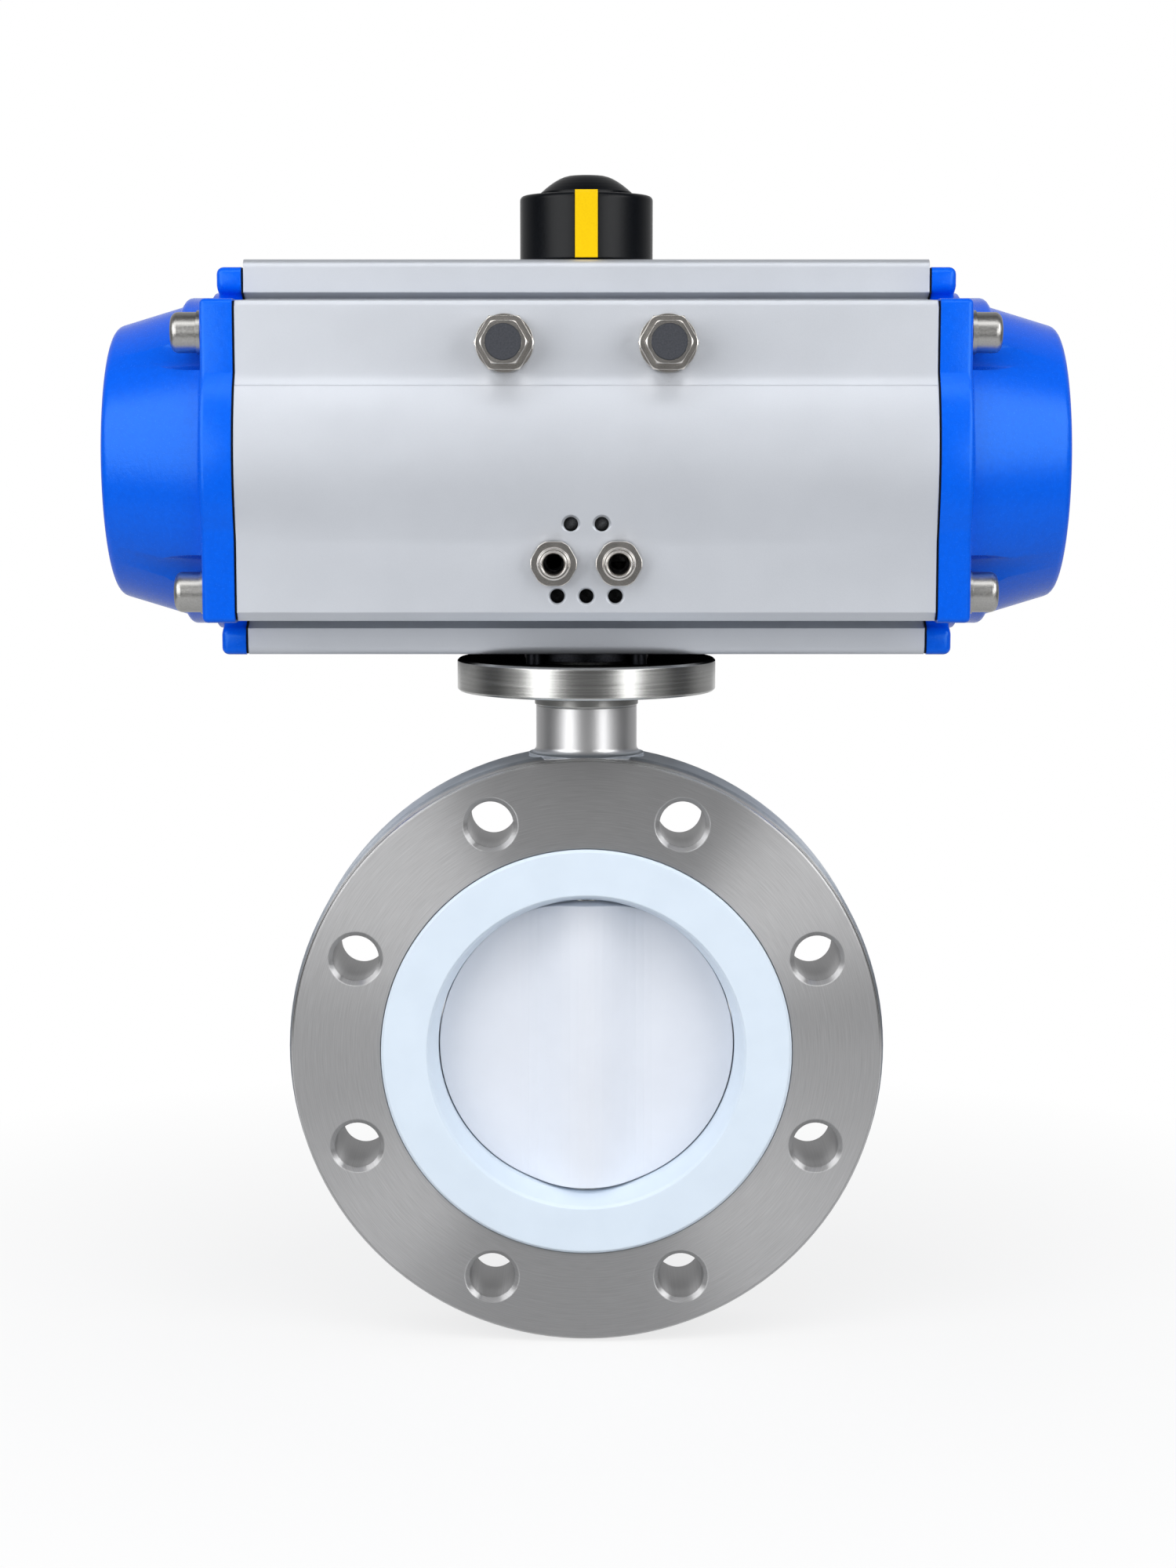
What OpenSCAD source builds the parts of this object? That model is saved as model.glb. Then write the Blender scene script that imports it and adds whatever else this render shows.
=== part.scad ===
// Flanged, fluoroplastic-lined butterfly valve with a double-acting rack-and-pinion
// pneumatic actuator. Origin: centre of the pipe bore. +Y along the pipe, +Z up the stem.
// All sizes in millimetres, shown with the disc closed.

/* [Pipe flange] */
// Outer diameter of the flanged ring
flange_d = 285; // [275:1:300]
// Length of the body along the pipe, metal face to metal face
face_to_face = 56; // [52:1:64]
// How much smaller the bolt circle is than the ring, in diameter
bolt_inset = 45; // [41:1:49]
// Number of flange bolts
bolt_count = 8; // [4:4:8]
// Flange bolt hole diameter
bolt_hole_d = 22; // [18:0.5:23]
// Chamfer round each bolt hole
bolt_hole_chamfer = 2.2; // [1:0.1:3]
// Chamfer on the outer edges of the ring
rim_chamfer = 1.2; // [0.5:0.1:2]
// Width of the turned rim strip beside each face
rim_strip = 10; // [6:1:14]
// Height of the as-cast band above the turned rim strips
cast_rise = 1.5; // [0.5:0.1:2.5]

/* [Seat liner] */
// Diameter of the liner's sealing faces
liner_face_d = 198; // [192:1:204]
// How far the liner faces stand proud of the metal faces
liner_proud = 2; // [1:0.5:3]
// Thickness of the liner's face flanges
liner_flange_t = 5; // [4:0.5:6]
// Seat bore diameter
seat_d = 144.6; // [140:0.2:146]
// Diameter of the liner's mouth at its faces
mouth_d = 154; // [150:1:157]
// Length of the seat land along the pipe
seat_land = 26; // [20:1:32]
// Wall thickness of the liner tube
liner_wall = 8; // [6:0.5:9]
// Thickness of the elastomer backing ring
backing_t = 6; // [5:0.5:7]

/* [Disc] */
// Gap between the disc edge and the seat
disc_gap = 0.3; // [0.2:0.05:0.6]
// Half thickness of the disc at its edge
disc_edge = 7; // [6:0.5:8]
// Half thickness of the disc over its hub rib
disc_hub = 18; // [17:0.5:20]
// Half width of the soft hub rib
hub_spread = 32; // [28:1:38]
// Thickness of the disc lining
lining_t = 3; // [2:0.25:3.5]

/* [Stem] */
// Diameter of the stem in the neck
stem_d = 28; // [26:0.5:29]
// Diameter of the stem pilots that pass through the liner
pilot_d = 20; // [18:0.5:21]
// Square drive at the stem's top, across flats
drive_af = 22; // [19:0.5:23]
// Square drive inside the disc, across flats
disc_drive_af = 15; // [13:0.5:16]
// Wall thickness of the stem bushes
bush_t = 2.4; // [2:0.1:3]
// Length of the lower bush in the neck
low_bush_l = 30; // [20:1:32]
// Depth of the stem's pilots inside the disc
pilot_depth = 52; // [40:1:56]
// Length of the plug that closes the lower stem's bore
plug_l = 14; // [10:1:16]

/* [Neck and top flange] */
// Neck diameter
neck_d = 48.7; // [46:0.1:52]
// Neck height above the flanged ring
neck_h = 23.5; // [18:0.5:30]
// Radius of the cast fillet at the neck's root
root_fillet = 3.5; // [3:0.5:7]
// Diameter of the weld collar under the top flange
collar_d = 50; // [49:0.5:54]
// Height of the weld collar
collar_h = 7.4; // [5:0.1:9]
// Top flange diameter
top_flange_d = 124.6; // [110:0.1:130]
// Top flange thickness
top_flange_t = 15.4; // [13:0.1:18]
// Bolt circle of the four screws that hold the actuator
actuator_pcd = 70; // [68:0.5:72]
// Diameter of those screws
mount_screw_d = 8; // [6:1:8]
// Width of the raised lip round the top flange's upper face
flange_lip = 3; // [2:0.5:5]
// Depth of the recess inside the lip
flange_recess = 1.2; // [0.6:0.1:2]
// Gap between top flange and actuator, filled by the spacer ring
flange_gap = 4.2; // [3:0.1:6]
// Thickness of the gland ring round the stem
gland_t = 6; // [4:0.5:7]

/* [Actuator housing] */
// Length of the extruded housing
housing_l = 318; // [300:1:340]
// Cylinder bore
cyl_d = 150; // [146:1:152]
// Outer radius of the curved front and back walls
bulge_r = 86; // [84:0.5:88]
// Half depth of the housing at its upper flats
upper_flat = 75; // [74:0.5:76]
// Half depth of the housing at its lower flats
lower_flat = 80; // [79:0.5:81]
// Height of the crease above the cylinder axis
crease_z = 35; // [33:0.1:38]
// Height of the upper shoulder above the axis
shoulder_z = 73.3; // [72:0.1:75]
// Depth of the lower shoulder below the axis
base_shoulder_z = 71.5; // [70:0.5:72]
// Height of the top pad above the axis
top_pad_z = 93.6; // [92:0.1:96]
// Depth of the bottom pad below the axis
base_pad_z = 90; // [88:0.5:92]
// Half depth of both pads
pad_half = 38; // [36:0.5:42]

/* [End caps] */
// Thickness of the cap plate
cap_plate_t = 15; // [13:0.5:17]
// Thickness of the ears over the pads
cap_ear_t = 11.5; // [10:0.5:14]
// How far the cap plate stands out past the housing
cap_grow = 0.8; // [0.4:0.1:1.5]
// Cup radius at the plate
cup_base_r = 78.5; // [76:0.5:80]
// Outer radius of the ribs over and under the cup
rib_r = 77.4; // [76:0.1:78]
// Length of the ribs along the cup
rib_l = 14.5; // [12:0.5:16]
// Half width of the ribs
rib_half = 44; // [38:1:46]
// Cup radius at its end
cup_end_r = 63; // [60:0.5:66]
// Length of the cup beyond the plate
cup_l = 48; // [42:1:56]
// Wall thickness of the cup
cup_wall = 6; // [4:0.5:8]
// Depth of the cap's spigot in the cylinder
spigot_l = 7; // [5:0.5:8]
// Gasket thickness
gasket_t = 1; // [0.6:0.1:1.4]
// Sideways place of the cap screws
cap_screw_y = 64; // [63:0.5:65]
// Height of the cap screws above and below the axis
cap_screw_z = 59; // [57:0.5:60]
// Cap screw diameter
cap_screw_d = 12; // [10:1:12]
// Cap screw length in the plate and housing
cap_screw_l = 38; // [30:1:45]

/* [Pistons and gear] */
// Gear module
gear_m = 4; // [3.8:0.05:4]
// Number of pinion teeth
gear_teeth = 14; // [14:1:14]
// Half height of the racks
rack_half = 22; // [18:1:26]
// Thickness of the rack arms behind the teeth
rack_back = 14; // [12:1:18]
// Distance from stem axis to each piston head, valve closed
piston_x = 70; // [68:0.5:74]
// Piston head thickness
piston_t = 28; // [25:0.5:32]
// Clearance between piston and cylinder
piston_gap = 0.35; // [0.25:0.05:0.6]
// Total backlash between rack and pinion
backlash = 0.3; // [0.25:0.05:0.5]

/* [Pinion] */
// Diameter of the pinion's lower journal
low_journal_d = 44; // [42:0.5:46]
// Diameter of the pinion's upper journal
top_journal_d = 35; // [33:0.5:37]
// Wall thickness of the pinion bearings
bearing_t = 4; // [3:0.25:4.5]
// How far the pinion stands out below the housing
pinion_drop = 3; // [2:0.5:4]
// Height of the pinion's head above the top pad
pinion_head = 18; // [15:0.5:20]

/* [Travel stops] */
// Sideways distance of each stop screw from the stem
stop_x = 37; // [35:0.5:39]
// Height of the stop screws above the axis
stop_z = 54; // [52:0.5:55]
// Stop screw diameter
stop_d = 12; // [10:1:12]
// Distance of the stop screw tips from the stem plane
stop_tip = 26.3; // [24:0.1:28]
// Stop cam thickness
cam_t = 9; // [7:0.5:10]
// Stop cam outer radius
cam_r = 48.5; // [46:0.5:49]
// Stop lock nut, across flats
stop_nut_af = 24; // [22:0.5:26]
// Stop lock nut thickness
stop_nut_t = 9; // [6:0.5:11]
// Stop screw head, across flats
stop_head_af = 19; // [17:0.5:20]
// Stop screw head height
stop_head_t = 14; // [10:0.5:18]

/* [Air ports] */
// Sideways distance of each air port from the stem
port_x = 14.8; // [13:0.1:17]
// Depth of the air ports below the axis
port_z = 45; // [43:0.5:46]
// Air port thread diameter
port_d = 13; // [11:0.5:13.5]
// Fitting hexagon, across flats
fitting_af = 20; // [18:0.5:20.5]
// How far the fittings stand out
fitting_l = 12; // [9:0.5:16]
// Bore of the fittings
fitting_bore = 9.6; // [6:0.1:10]
// Diameter of the accessory screw holes below and above the ports
pilot_hole_d = 6.5; // [5:0.1:7]
// Half spacing of the upper pair of accessory holes
upper_pair = 7; // [6:0.1:9]
// Depth of the upper pair below the axis
upper_pair_z = 27.3; // [25:0.1:29]
// Spacing of the three lower accessory holes
lower_row = 13.2; // [12:0.1:15]
// Depth of the lower row below the axis
lower_row_z = 60; // [59:0.5:61]
// Half spacing along X of the four top accessory holes
top_hole_x = 65; // [60:1:70]
// Half spacing along Y of the four top accessory holes
top_hole_y = 15; // [13:0.5:17]
// Diameter of the top accessory holes
top_hole_d = 5; // [4:0.5:6]

/* [Position indicator] */
// Indicator cap diameter
indicator_d = 63; // [56:0.5:68]
// Indicator cap height
indicator_h = 30.7; // [28:0.1:34]
// Indicator strip width
strip_w = 10.6; // [9:0.1:14]
// Indicator strip thickness
strip_t = 3; // [2.4:0.1:4]
// How far the strip stands proud of the cap's side
strip_proud = 1.9; // [1:0.1:2.2]
// How far the strip stands proud of the cap's top
strip_rise = 0.8; // [0.4:0.1:1.6]
// Dome diameter
dome_d = 43; // [38:0.5:48]
// Dome height
dome_h = 9.4; // [6:0.1:11]

/* [Hidden] */

$fn = 96;

// Small clearances
fit = 0.05;
thread_gap = 0.05;
rest_gap = 0.1;
eps = 1;

// Valve body
ring_r = flange_d / 2;
half_f = face_to_face / 2;
bolt_circle_d = flange_d - bolt_inset;
seat_r = seat_d / 2;
liner_r = seat_r + liner_wall;
shell_r = liner_r + backing_t;
recess_half = half_f + liner_proud - liner_flange_t;
disc_r = seat_r - disc_gap;

// Stem levels above the pipe axis
stem_r = stem_d / 2;
pilot_r = pilot_d / 2;
neck_bore_r = stem_r + bush_t + fit;
stem_wall = 5.7;
stem_step_z = shell_r + stem_wall;
washer_t = 1.5;
collar_z = ring_r + neck_h;
plate_z = collar_z + collar_h;
mount_z = plate_z + top_flange_t;
gland_sink = 4;
gland_width = 8;
gland_seat_z = mount_z - gland_t - gland_sink;
gland_r = stem_r + gland_width;
circlip_t = 1.5;
circlip_bite = 1.2;
low_bush_z = stem_step_z + washer_t + 0.5;
seal_z = low_bush_z + low_bush_l + 4;
seal_pitch = 4;
seal_count = 3;
up_bush_z = seal_z + seal_pitch * seal_count;
round_top_z = mount_z - 2;
drive_top_z = mount_z + flange_gap + 21;
pilot_end_z = disc_r - pilot_depth;
drive_seat_z = pilot_end_z + 24;

// Bottom shaft
bottom_wall = 7.7;
bottom_step_z = shell_r + bottom_wall;
plug_seal_t = 1.5;
plug_seat_z = ring_r - plug_l - plug_seal_t;
bottom_shaft_z = plug_seat_z - 1;
bottom_bush_l = bottom_shaft_z - 2 - bottom_step_z;
bottom_bore_r = pilot_r + bush_t + fit;
plug_shoulder = 2.6;
plug_r = bottom_bore_r + plug_shoulder;

// Actuator
base_z = mount_z + flange_gap;
axis_z = base_z + base_pad_z;
cyl_r = cyl_d / 2;
half_l = housing_l / 2;
plate_x = half_l + gasket_t;
cap_x = plate_x + cap_plate_t;
cup_x = cap_x + cup_l;
pad_groove = 6;
crease_rise = 5.7;
pad_round = 4;
pinion_low = -base_pad_z - pinion_drop;
socket_depth = 26;
low_journal_r = low_journal_d / 2;
top_journal_r = top_journal_d / 2;
low_bearing_top = -cyl_r + 2;
top_bearing_low = cyl_r - 4;

// Gear
gear_r = gear_m * gear_teeth / 2;
pressure = 20;
addendum = 0.8 * gear_m;
dedendum = gear_m;
base_r = gear_r * cos(pressure);
gear_pitch = PI * gear_m;
gear_half = rack_half + 2;
rack_tip_y = gear_r - addendum;
rack_root_y = gear_r + dedendum;
rack_back_y = rack_root_y + rack_back;
rack_end = 4.8 * gear_pitch;
piston_r = cyl_r - piston_gap;
seal_w = 6;
seal_depth = 5;
seal_x = piston_x + piston_t - 10;
wear_w = 8;
wear_depth = 2.5;
wear_x = piston_x + 5;
pad_len = 28;
pad_rib_half = 9;
pad_t = 5;
pad_rib_y = piston_r - pad_t - 1.3;

// Stop cam
cam_z = stop_z + 2 - cam_t;
cam_hub_r = norm([stop_x - stop_d / 2, stop_tip]) - 3;
cam_seat_r = top_journal_r + 2.5;
cam_flat = top_journal_r + 0.6;
stop_face = stop_tip - 0.3;

// Indicator
indicator_z = top_pad_z + 0.6;
indicator_top = indicator_z + indicator_h;
strip_top = indicator_top + strip_rise;
strip_y = indicator_d / 2 + strip_proud;
dome_rim = 1.6;
dome_crown = 8;
thrust_z = top_pad_z + fit;
thrust_t = 1.5;
pin_circlip_z = thrust_z + thrust_t + fit;
head_z = pin_circlip_z + circlip_t + 1.5;
head_r = top_journal_r - 2.5;
head_top = top_pad_z + pinion_head;
cavity_r = top_journal_r + 6.5;
screw_seat_z = indicator_top - 7;

// Fasteners
mount_screw_r = mount_screw_d / 2;
mount_head_h = 6;
mount_head_r = mount_screw_r + 2.5;
mount_bury = 10.5;
spacer_r = 29.8;
cap_screw_r = cap_screw_d / 2;
cap_head_r = cap_screw_r * 1.55;
cap_head_h = cap_screw_d;
cap_hole_depth = 28;
washer_gap = 0.02;
cap_washer_t = 2;
port_thread_l = 10;
port_bore_r = 3.5;
drop_r = 3;
cross_r = 2.5;
run_r = 3.3;
tap_r = 3 + thread_gap;
tap_clear_r = 3.3;
screw_sink_r = 5.6;

silver = [0.77, 0.80, 0.84];
blue = [0.0, 0.38, 0.92];
steel = [0.62, 0.62, 0.61];
bright = [0.75, 0.74, 0.72];
white = [0.93, 0.95, 0.98];
black = [0.1, 0.1, 0.12];
rubber = [0.08, 0.08, 0.08];
yellow = [0.97, 0.81, 0.03];
bronze = [0.72, 0.55, 0.32];

// Turns a shape drawn along +Z to lie along +Y
module along_y() {
    rotate([-90, 0, 0]) children();
}

// Turns a shape drawn along +Z to lie along +X
module along_x() {
    rotate([0, 90, 0]) children();
}

// Runs a profile drawn in (Y, Z) along +X
module run_x(length) {
    rotate([90, 0, 90]) linear_extrude(length) children();
}

// Puts a copy at every corner of a rectangle
module corners(dx, dy) {
    for (sx = [-1, 1], sy = [-1, 1]) translate([sx * dx, sy * dy, 0]) children();
}

// Lifts a piece from the actuator's cylinder axis to its place over the valve
module lift() {
    translate([0, 0, axis_z]) children();
}

module tube(outer, inner, height) {
    difference() {
        cylinder(r = outer, h = height);
        translate([0, 0, -eps]) cylinder(r = inner, h = height + 2 * eps);
    }
}

// Hexagonal prism with both ends chamfered as by a lathe
module hex_prism(af, height, chamfer = 1.2) {
    corner_r = af / 2 / cos(30);
    intersection() {
        cylinder(r = corner_r, h = height, $fn = 6);
        rotate_extrude() polygon([
            [0, 0], [corner_r - chamfer, 0], [corner_r, chamfer * 0.6],
            [corner_r, height - chamfer * 0.6], [corner_r - chamfer, height], [0, height]
        ]);
    }
}

// Square bar with its corners turned to a shaft's radius
module square_bar(af, radius, height) {
    intersection() {
        translate([-af / 2, -af / 2, 0]) cube([af, af, height]);
        cylinder(r = radius, h = height);
    }
}

// Socket head screw: head base at z = 0, head up, shank down
module socket_screw(shank_r, length, head_r, head_h, socket_af) {
    round_r = head_h * 0.28;
    difference() {
        union() {
            rotate_extrude() {
                polygon([
                    [0, 0], [head_r, 0], [head_r, head_h - round_r],
                    for (a = [15:15:75]) [
                        head_r - round_r + round_r * cos(a), head_h - round_r + round_r * sin(a)
                    ],
                    [head_r - round_r, head_h], [0, head_h]
                ]);
            }
            translate([0, 0, -length]) cylinder(r = shank_r, h = length);
        }
        translate([0, 0, head_h / 2]) cylinder(r = socket_af / 2 / cos(30), h = head_h, $fn = 6);
    }
}

// Valve body
module ring_section() {
    crown = ring_r + cast_rise;
    band = half_f - rim_strip;
    polygon([
        [shell_r, -recess_half],
        [liner_face_d / 2 + 0.4, -recess_half],
        [liner_face_d / 2 + 0.4, -half_f],
        [ring_r - rim_chamfer, -half_f],
        [ring_r, rim_chamfer - half_f],
        [ring_r, -band - cast_rise],
        [crown, -band],
        [crown, band],
        [ring_r, band + cast_rise],
        [ring_r, half_f - rim_chamfer],
        [ring_r - rim_chamfer, half_f],
        [liner_face_d / 2 + 0.4, half_f],
        [liner_face_d / 2 + 0.4, recess_half],
        [shell_r, recess_half]
    ]);
}

module neck_root() {
    root_z = ring_r + cast_rise - 1;
    rotate_extrude() polygon([
        [0, root_z - 14],
        [neck_d / 2 + root_fillet, root_z - 14],
        [neck_d / 2 + root_fillet, root_z],
        for (a = [15:15:75]) [
            neck_d / 2 + root_fillet * (1 - sin(a)), root_z + root_fillet * (1 - cos(a))
        ],
        [neck_d / 2, root_z + root_fillet],
        [neck_d / 2, collar_z],
        [0, collar_z]
    ]);
}

module flange_hole() {
    rotate([90, 0, 0]) {
        cylinder(r = bolt_hole_d / 2, h = face_to_face + 2 * eps, center = true);
        for (turn = [0, 180]) {
            rotate([turn, 0, 0]) translate([0, 0, half_f - bolt_hole_chamfer])
                cylinder(
                    r1 = bolt_hole_d / 2,
                    r2 = bolt_hole_d / 2 + bolt_hole_chamfer * 1.2,
                    h = bolt_hole_chamfer * 1.2
                );
        }
    }
}

module valve_body() {
    root_half = half_f - rim_chamfer;
    hub_gap = 0.3;
    color(steel) difference() {
        union() {
            rotate([90, 0, 0]) rotate_extrude() ring_section();
            intersection() {
                neck_root();
                translate([-ring_r, -root_half, 0]) cube([2 * ring_r, 2 * root_half, 2 * ring_r]);
            }
        }
        rotate([90, 0, 0]) cylinder(r = shell_r, h = face_to_face, center = true);
        for (i = [0:bolt_count - 1]) {
            turn = (i + 0.5) * 360 / bolt_count;
            rotate([0, turn, 0]) translate([bolt_circle_d / 2, 0, 0]) flange_hole();
        }
        translate([0, 0, stem_step_z]) cylinder(r = neck_bore_r, h = collar_z);
        translate([0, 0, shell_r - 5]) cylinder(r = pilot_r + hub_gap, h = 20);
        translate([0, 0, -bottom_step_z - eps]) cylinder(r = pilot_r + hub_gap, h = 20);
        translate([0, 0, -ring_r]) cylinder(r = bottom_bore_r, h = ring_r - bottom_step_z);
        translate([0, 0, -ring_r - 5]) cylinder(r = plug_r + thread_gap, h = ring_r + 5 - plug_seat_z);
    }
}

module top_flange() {
    flare = 3;
    edge = 1;
    color(bright) difference() {
        rotate_extrude() polygon([
            [neck_bore_r, collar_z],
            [collar_d / 2 - 0.7, collar_z],
            [collar_d / 2, collar_z + 0.7],
            [collar_d / 2, plate_z - flare],
            for (a = [15:15:75]) [
                collar_d / 2 + flare * (1 - cos(a)), plate_z - flare + flare * sin(a)
            ],
            [collar_d / 2 + flare, plate_z],
            [top_flange_d / 2 - edge, plate_z],
            [top_flange_d / 2, plate_z + edge],
            [top_flange_d / 2, mount_z - edge],
            [top_flange_d / 2 - edge, mount_z],
            [top_flange_d / 2 - flange_lip, mount_z],
            [top_flange_d / 2 - flange_lip - 0.6, mount_z - flange_recess],
            [spacer_r + 1, mount_z - flange_recess],
            [spacer_r + 1, mount_z],
            [gland_r, mount_z],
            [gland_r, gland_seat_z + gland_t + circlip_t + 0.2],
            [gland_r + circlip_bite, gland_seat_z + gland_t + circlip_t + 0.2],
            [gland_r + circlip_bite, gland_seat_z + gland_t],
            [gland_r, gland_seat_z + gland_t],
            [gland_r, gland_seat_z],
            [neck_bore_r, gland_seat_z]
        ]);
        for (turn = [45:90:315]) rotate([0, 0, turn]) translate([actuator_pcd / 2, 0, 0]) {
            translate([0, 0, plate_z - eps]) cylinder(r = mount_screw_r + 0.5, h = top_flange_t + 2 * eps);
            translate([0, 0, plate_z - eps]) cylinder(r = mount_head_r + 0.6, h = mount_head_h + 1 + eps);
        }
    }
}

// Liner and its backing
module seat_liner() {
    land = seat_land / 2;
    face = half_f + liner_proud;
    tube_half = recess_half;
    lip = 1.2;
    color(white) difference() {
        rotate([90, 0, 0]) rotate_extrude() polygon([
            [seat_r, -land],
            [mouth_d / 2 - lip, -face + lip * 1.5],
            [mouth_d / 2, -face],
            [liner_face_d / 2 - lip, -face],
            [liner_face_d / 2, -face + lip],
            [liner_face_d / 2, -tube_half],
            [liner_r, -tube_half],
            [liner_r, tube_half],
            [liner_face_d / 2, tube_half],
            [liner_face_d / 2, face - lip],
            [liner_face_d / 2 - lip, face],
            [mouth_d / 2, face],
            [mouth_d / 2 - lip, face - lip * 1.5],
            [seat_r, land]
        ]);
        translate([0, 0, -liner_r - 5]) cylinder(r = pilot_r + rest_gap, h = 2 * liner_r + 10);
    }
}

module liner_backing() {
    color(rubber) difference() {
        rotate([90, 0, 0]) translate([0, 0, fit - recess_half])
            tube(shell_r - fit, liner_r + fit, 2 * (recess_half - fit));
        translate([0, 0, -shell_r - 5]) cylinder(r = pilot_r + 0.6, h = 2 * shell_r + 10);
    }
}

// Half thickness of the disc at a distance x from the stem axis
function disc_half(x) =
    disc_edge + (disc_hub - disc_edge) * (0.5 + 0.5 * cos(180 * min(abs(x) / hub_spread, 1)));

module disc_profile(skin) {
    step = hub_spread / 8;
    xs = [for (x = [-hub_spread:step:hub_spread]) x];
    reach = disc_r + 5;
    polygon([
        [-reach, disc_edge - skin],
        for (x = xs) [x, disc_half(x) - skin],
        [reach, disc_edge - skin],
        [reach, skin - disc_edge],
        for (i = [len(xs) - 1:-1:0]) [xs[i], skin - disc_half(xs[i])],
        [-reach, skin - disc_edge]
    ]);
}

module disc_form(skin) {
    intersection() {
        translate([0, 0, -disc_r - 5]) linear_extrude(2 * disc_r + 10) disc_profile(skin);
        sphere(r = disc_r - skin);
    }
}

module disc_core() {
    color(steel) difference() {
        disc_form(lining_t);
        translate([0, 0, drive_seat_z]) cylinder(r = pilot_r + fit, h = disc_r);
        translate([0, 0, pilot_end_z - fit])
            square_bar(disc_drive_af + 2 * fit, pilot_r + fit, drive_seat_z - pilot_end_z + 2 * fit);
        translate([0, 0, -disc_r]) cylinder(r = pilot_r + fit, h = pilot_depth + fit);
    }
}

module disc_lining() {
    color(white) difference() {
        disc_form(0);
        disc_form(lining_t);
        translate([0, 0, pilot_end_z]) cylinder(r = pilot_r + fit, h = disc_r);
        translate([0, 0, -pilot_end_z - disc_r]) cylinder(r = pilot_r + fit, h = disc_r);
    }
}

module upper_stem() {
    color(bright) union() {
        translate([0, 0, pilot_end_z]) square_bar(disc_drive_af, pilot_r, drive_seat_z - pilot_end_z + fit);
        translate([0, 0, drive_seat_z])
            cylinder(r = pilot_r, h = stem_step_z + washer_t - drive_seat_z + 2 * fit);
        translate([0, 0, stem_step_z + washer_t + fit])
            cylinder(r = stem_r, h = round_top_z - stem_step_z - washer_t - fit);
        translate([0, 0, round_top_z - fit]) square_bar(drive_af, stem_r, drive_top_z - round_top_z + fit);
    }
}

module lower_stem() {
    color(bright) translate([0, 0, -bottom_shaft_z])
        cylinder(r = pilot_r, h = bottom_shaft_z - pilot_end_z);
}

module stem_thrust_washer() {
    color(bronze) translate([0, 0, stem_step_z]) tube(neck_bore_r - fit, pilot_r + fit, washer_t);
}

module neck_bush(low, height) {
    color(bronze) translate([0, 0, low]) tube(neck_bore_r - fit, stem_r + fit, height);
}

module neck_lower_bush() {
    neck_bush(low_bush_z, low_bush_l);
}

module neck_upper_bush() {
    neck_bush(up_bush_z, gland_seat_z - up_bush_z);
}

module stem_seals() {
    mean_r = (neck_bore_r + stem_r) / 2;
    cord_r = (neck_bore_r - stem_r) / 2 - fit;
    color(rubber) for (i = [0:seal_count - 1])
        translate([0, 0, seal_z + i * seal_pitch - seal_pitch / 2]) rotate_extrude()
            translate([mean_r, 0]) circle(r = cord_r, $fn = 24);
}

module gland_ring() {
    color(bright) translate([0, 0, gland_seat_z]) tube(gland_r - fit, stem_r + rest_gap, gland_t);
}

module gland_circlip() {
    clip_r = gland_r + circlip_bite - 0.1;
    color(black) translate([0, 0, gland_seat_z + gland_t + fit]) difference() {
        tube(clip_r, gland_r - 3, circlip_t);
        translate([-3, 0, -eps]) cube([6, clip_r + eps, circlip_t + 2 * eps]);
    }
}

module bottom_bush() {
    color(bronze) translate([0, 0, -bottom_step_z - bottom_bush_l])
        tube(bottom_bore_r - fit, pilot_r + fit, bottom_bush_l);
}

module bottom_plug() {
    plug_top = plug_seat_z + plug_seal_t;
    socket_af = 12;
    color(bright) difference() {
        translate([0, 0, -ring_r]) cylinder(r = plug_r, h = ring_r - plug_top);
        translate([0, 0, -ring_r - eps]) cylinder(r = socket_af / 2 / cos(30), h = 7 + eps, $fn = 6);
    }
}

module bottom_plug_seal() {
    color(rubber) translate([0, 0, -plug_seat_z - plug_seal_t + fit])
        tube(plug_r - fit, pilot_r + 0.4, plug_seal_t - fit);
}

module spacer_ring() {
    color(bright) translate([0, 0, mount_z]) tube(spacer_r, spacer_r - 3.6, flange_gap);
}

module mounting_screws() {
    shank = mount_z - plate_z - mount_head_h - 1 + flange_gap + mount_bury;
    color(bright) for (turn = [45:90:315]) rotate([0, 0, turn])
        translate([actuator_pcd / 2, 0, plate_z + mount_head_h + 1]) rotate([180, 0, 0])
            socket_screw(mount_screw_r, shank, mount_head_r, mount_head_h, 5);
}

// Half depth of the housing where its upper flat runs out onto the bulge
function crease_half(grow) = sqrt(pow(bulge_r + grow, 2) - pow(crease_z + grow, 2)) - 0.25;

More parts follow.
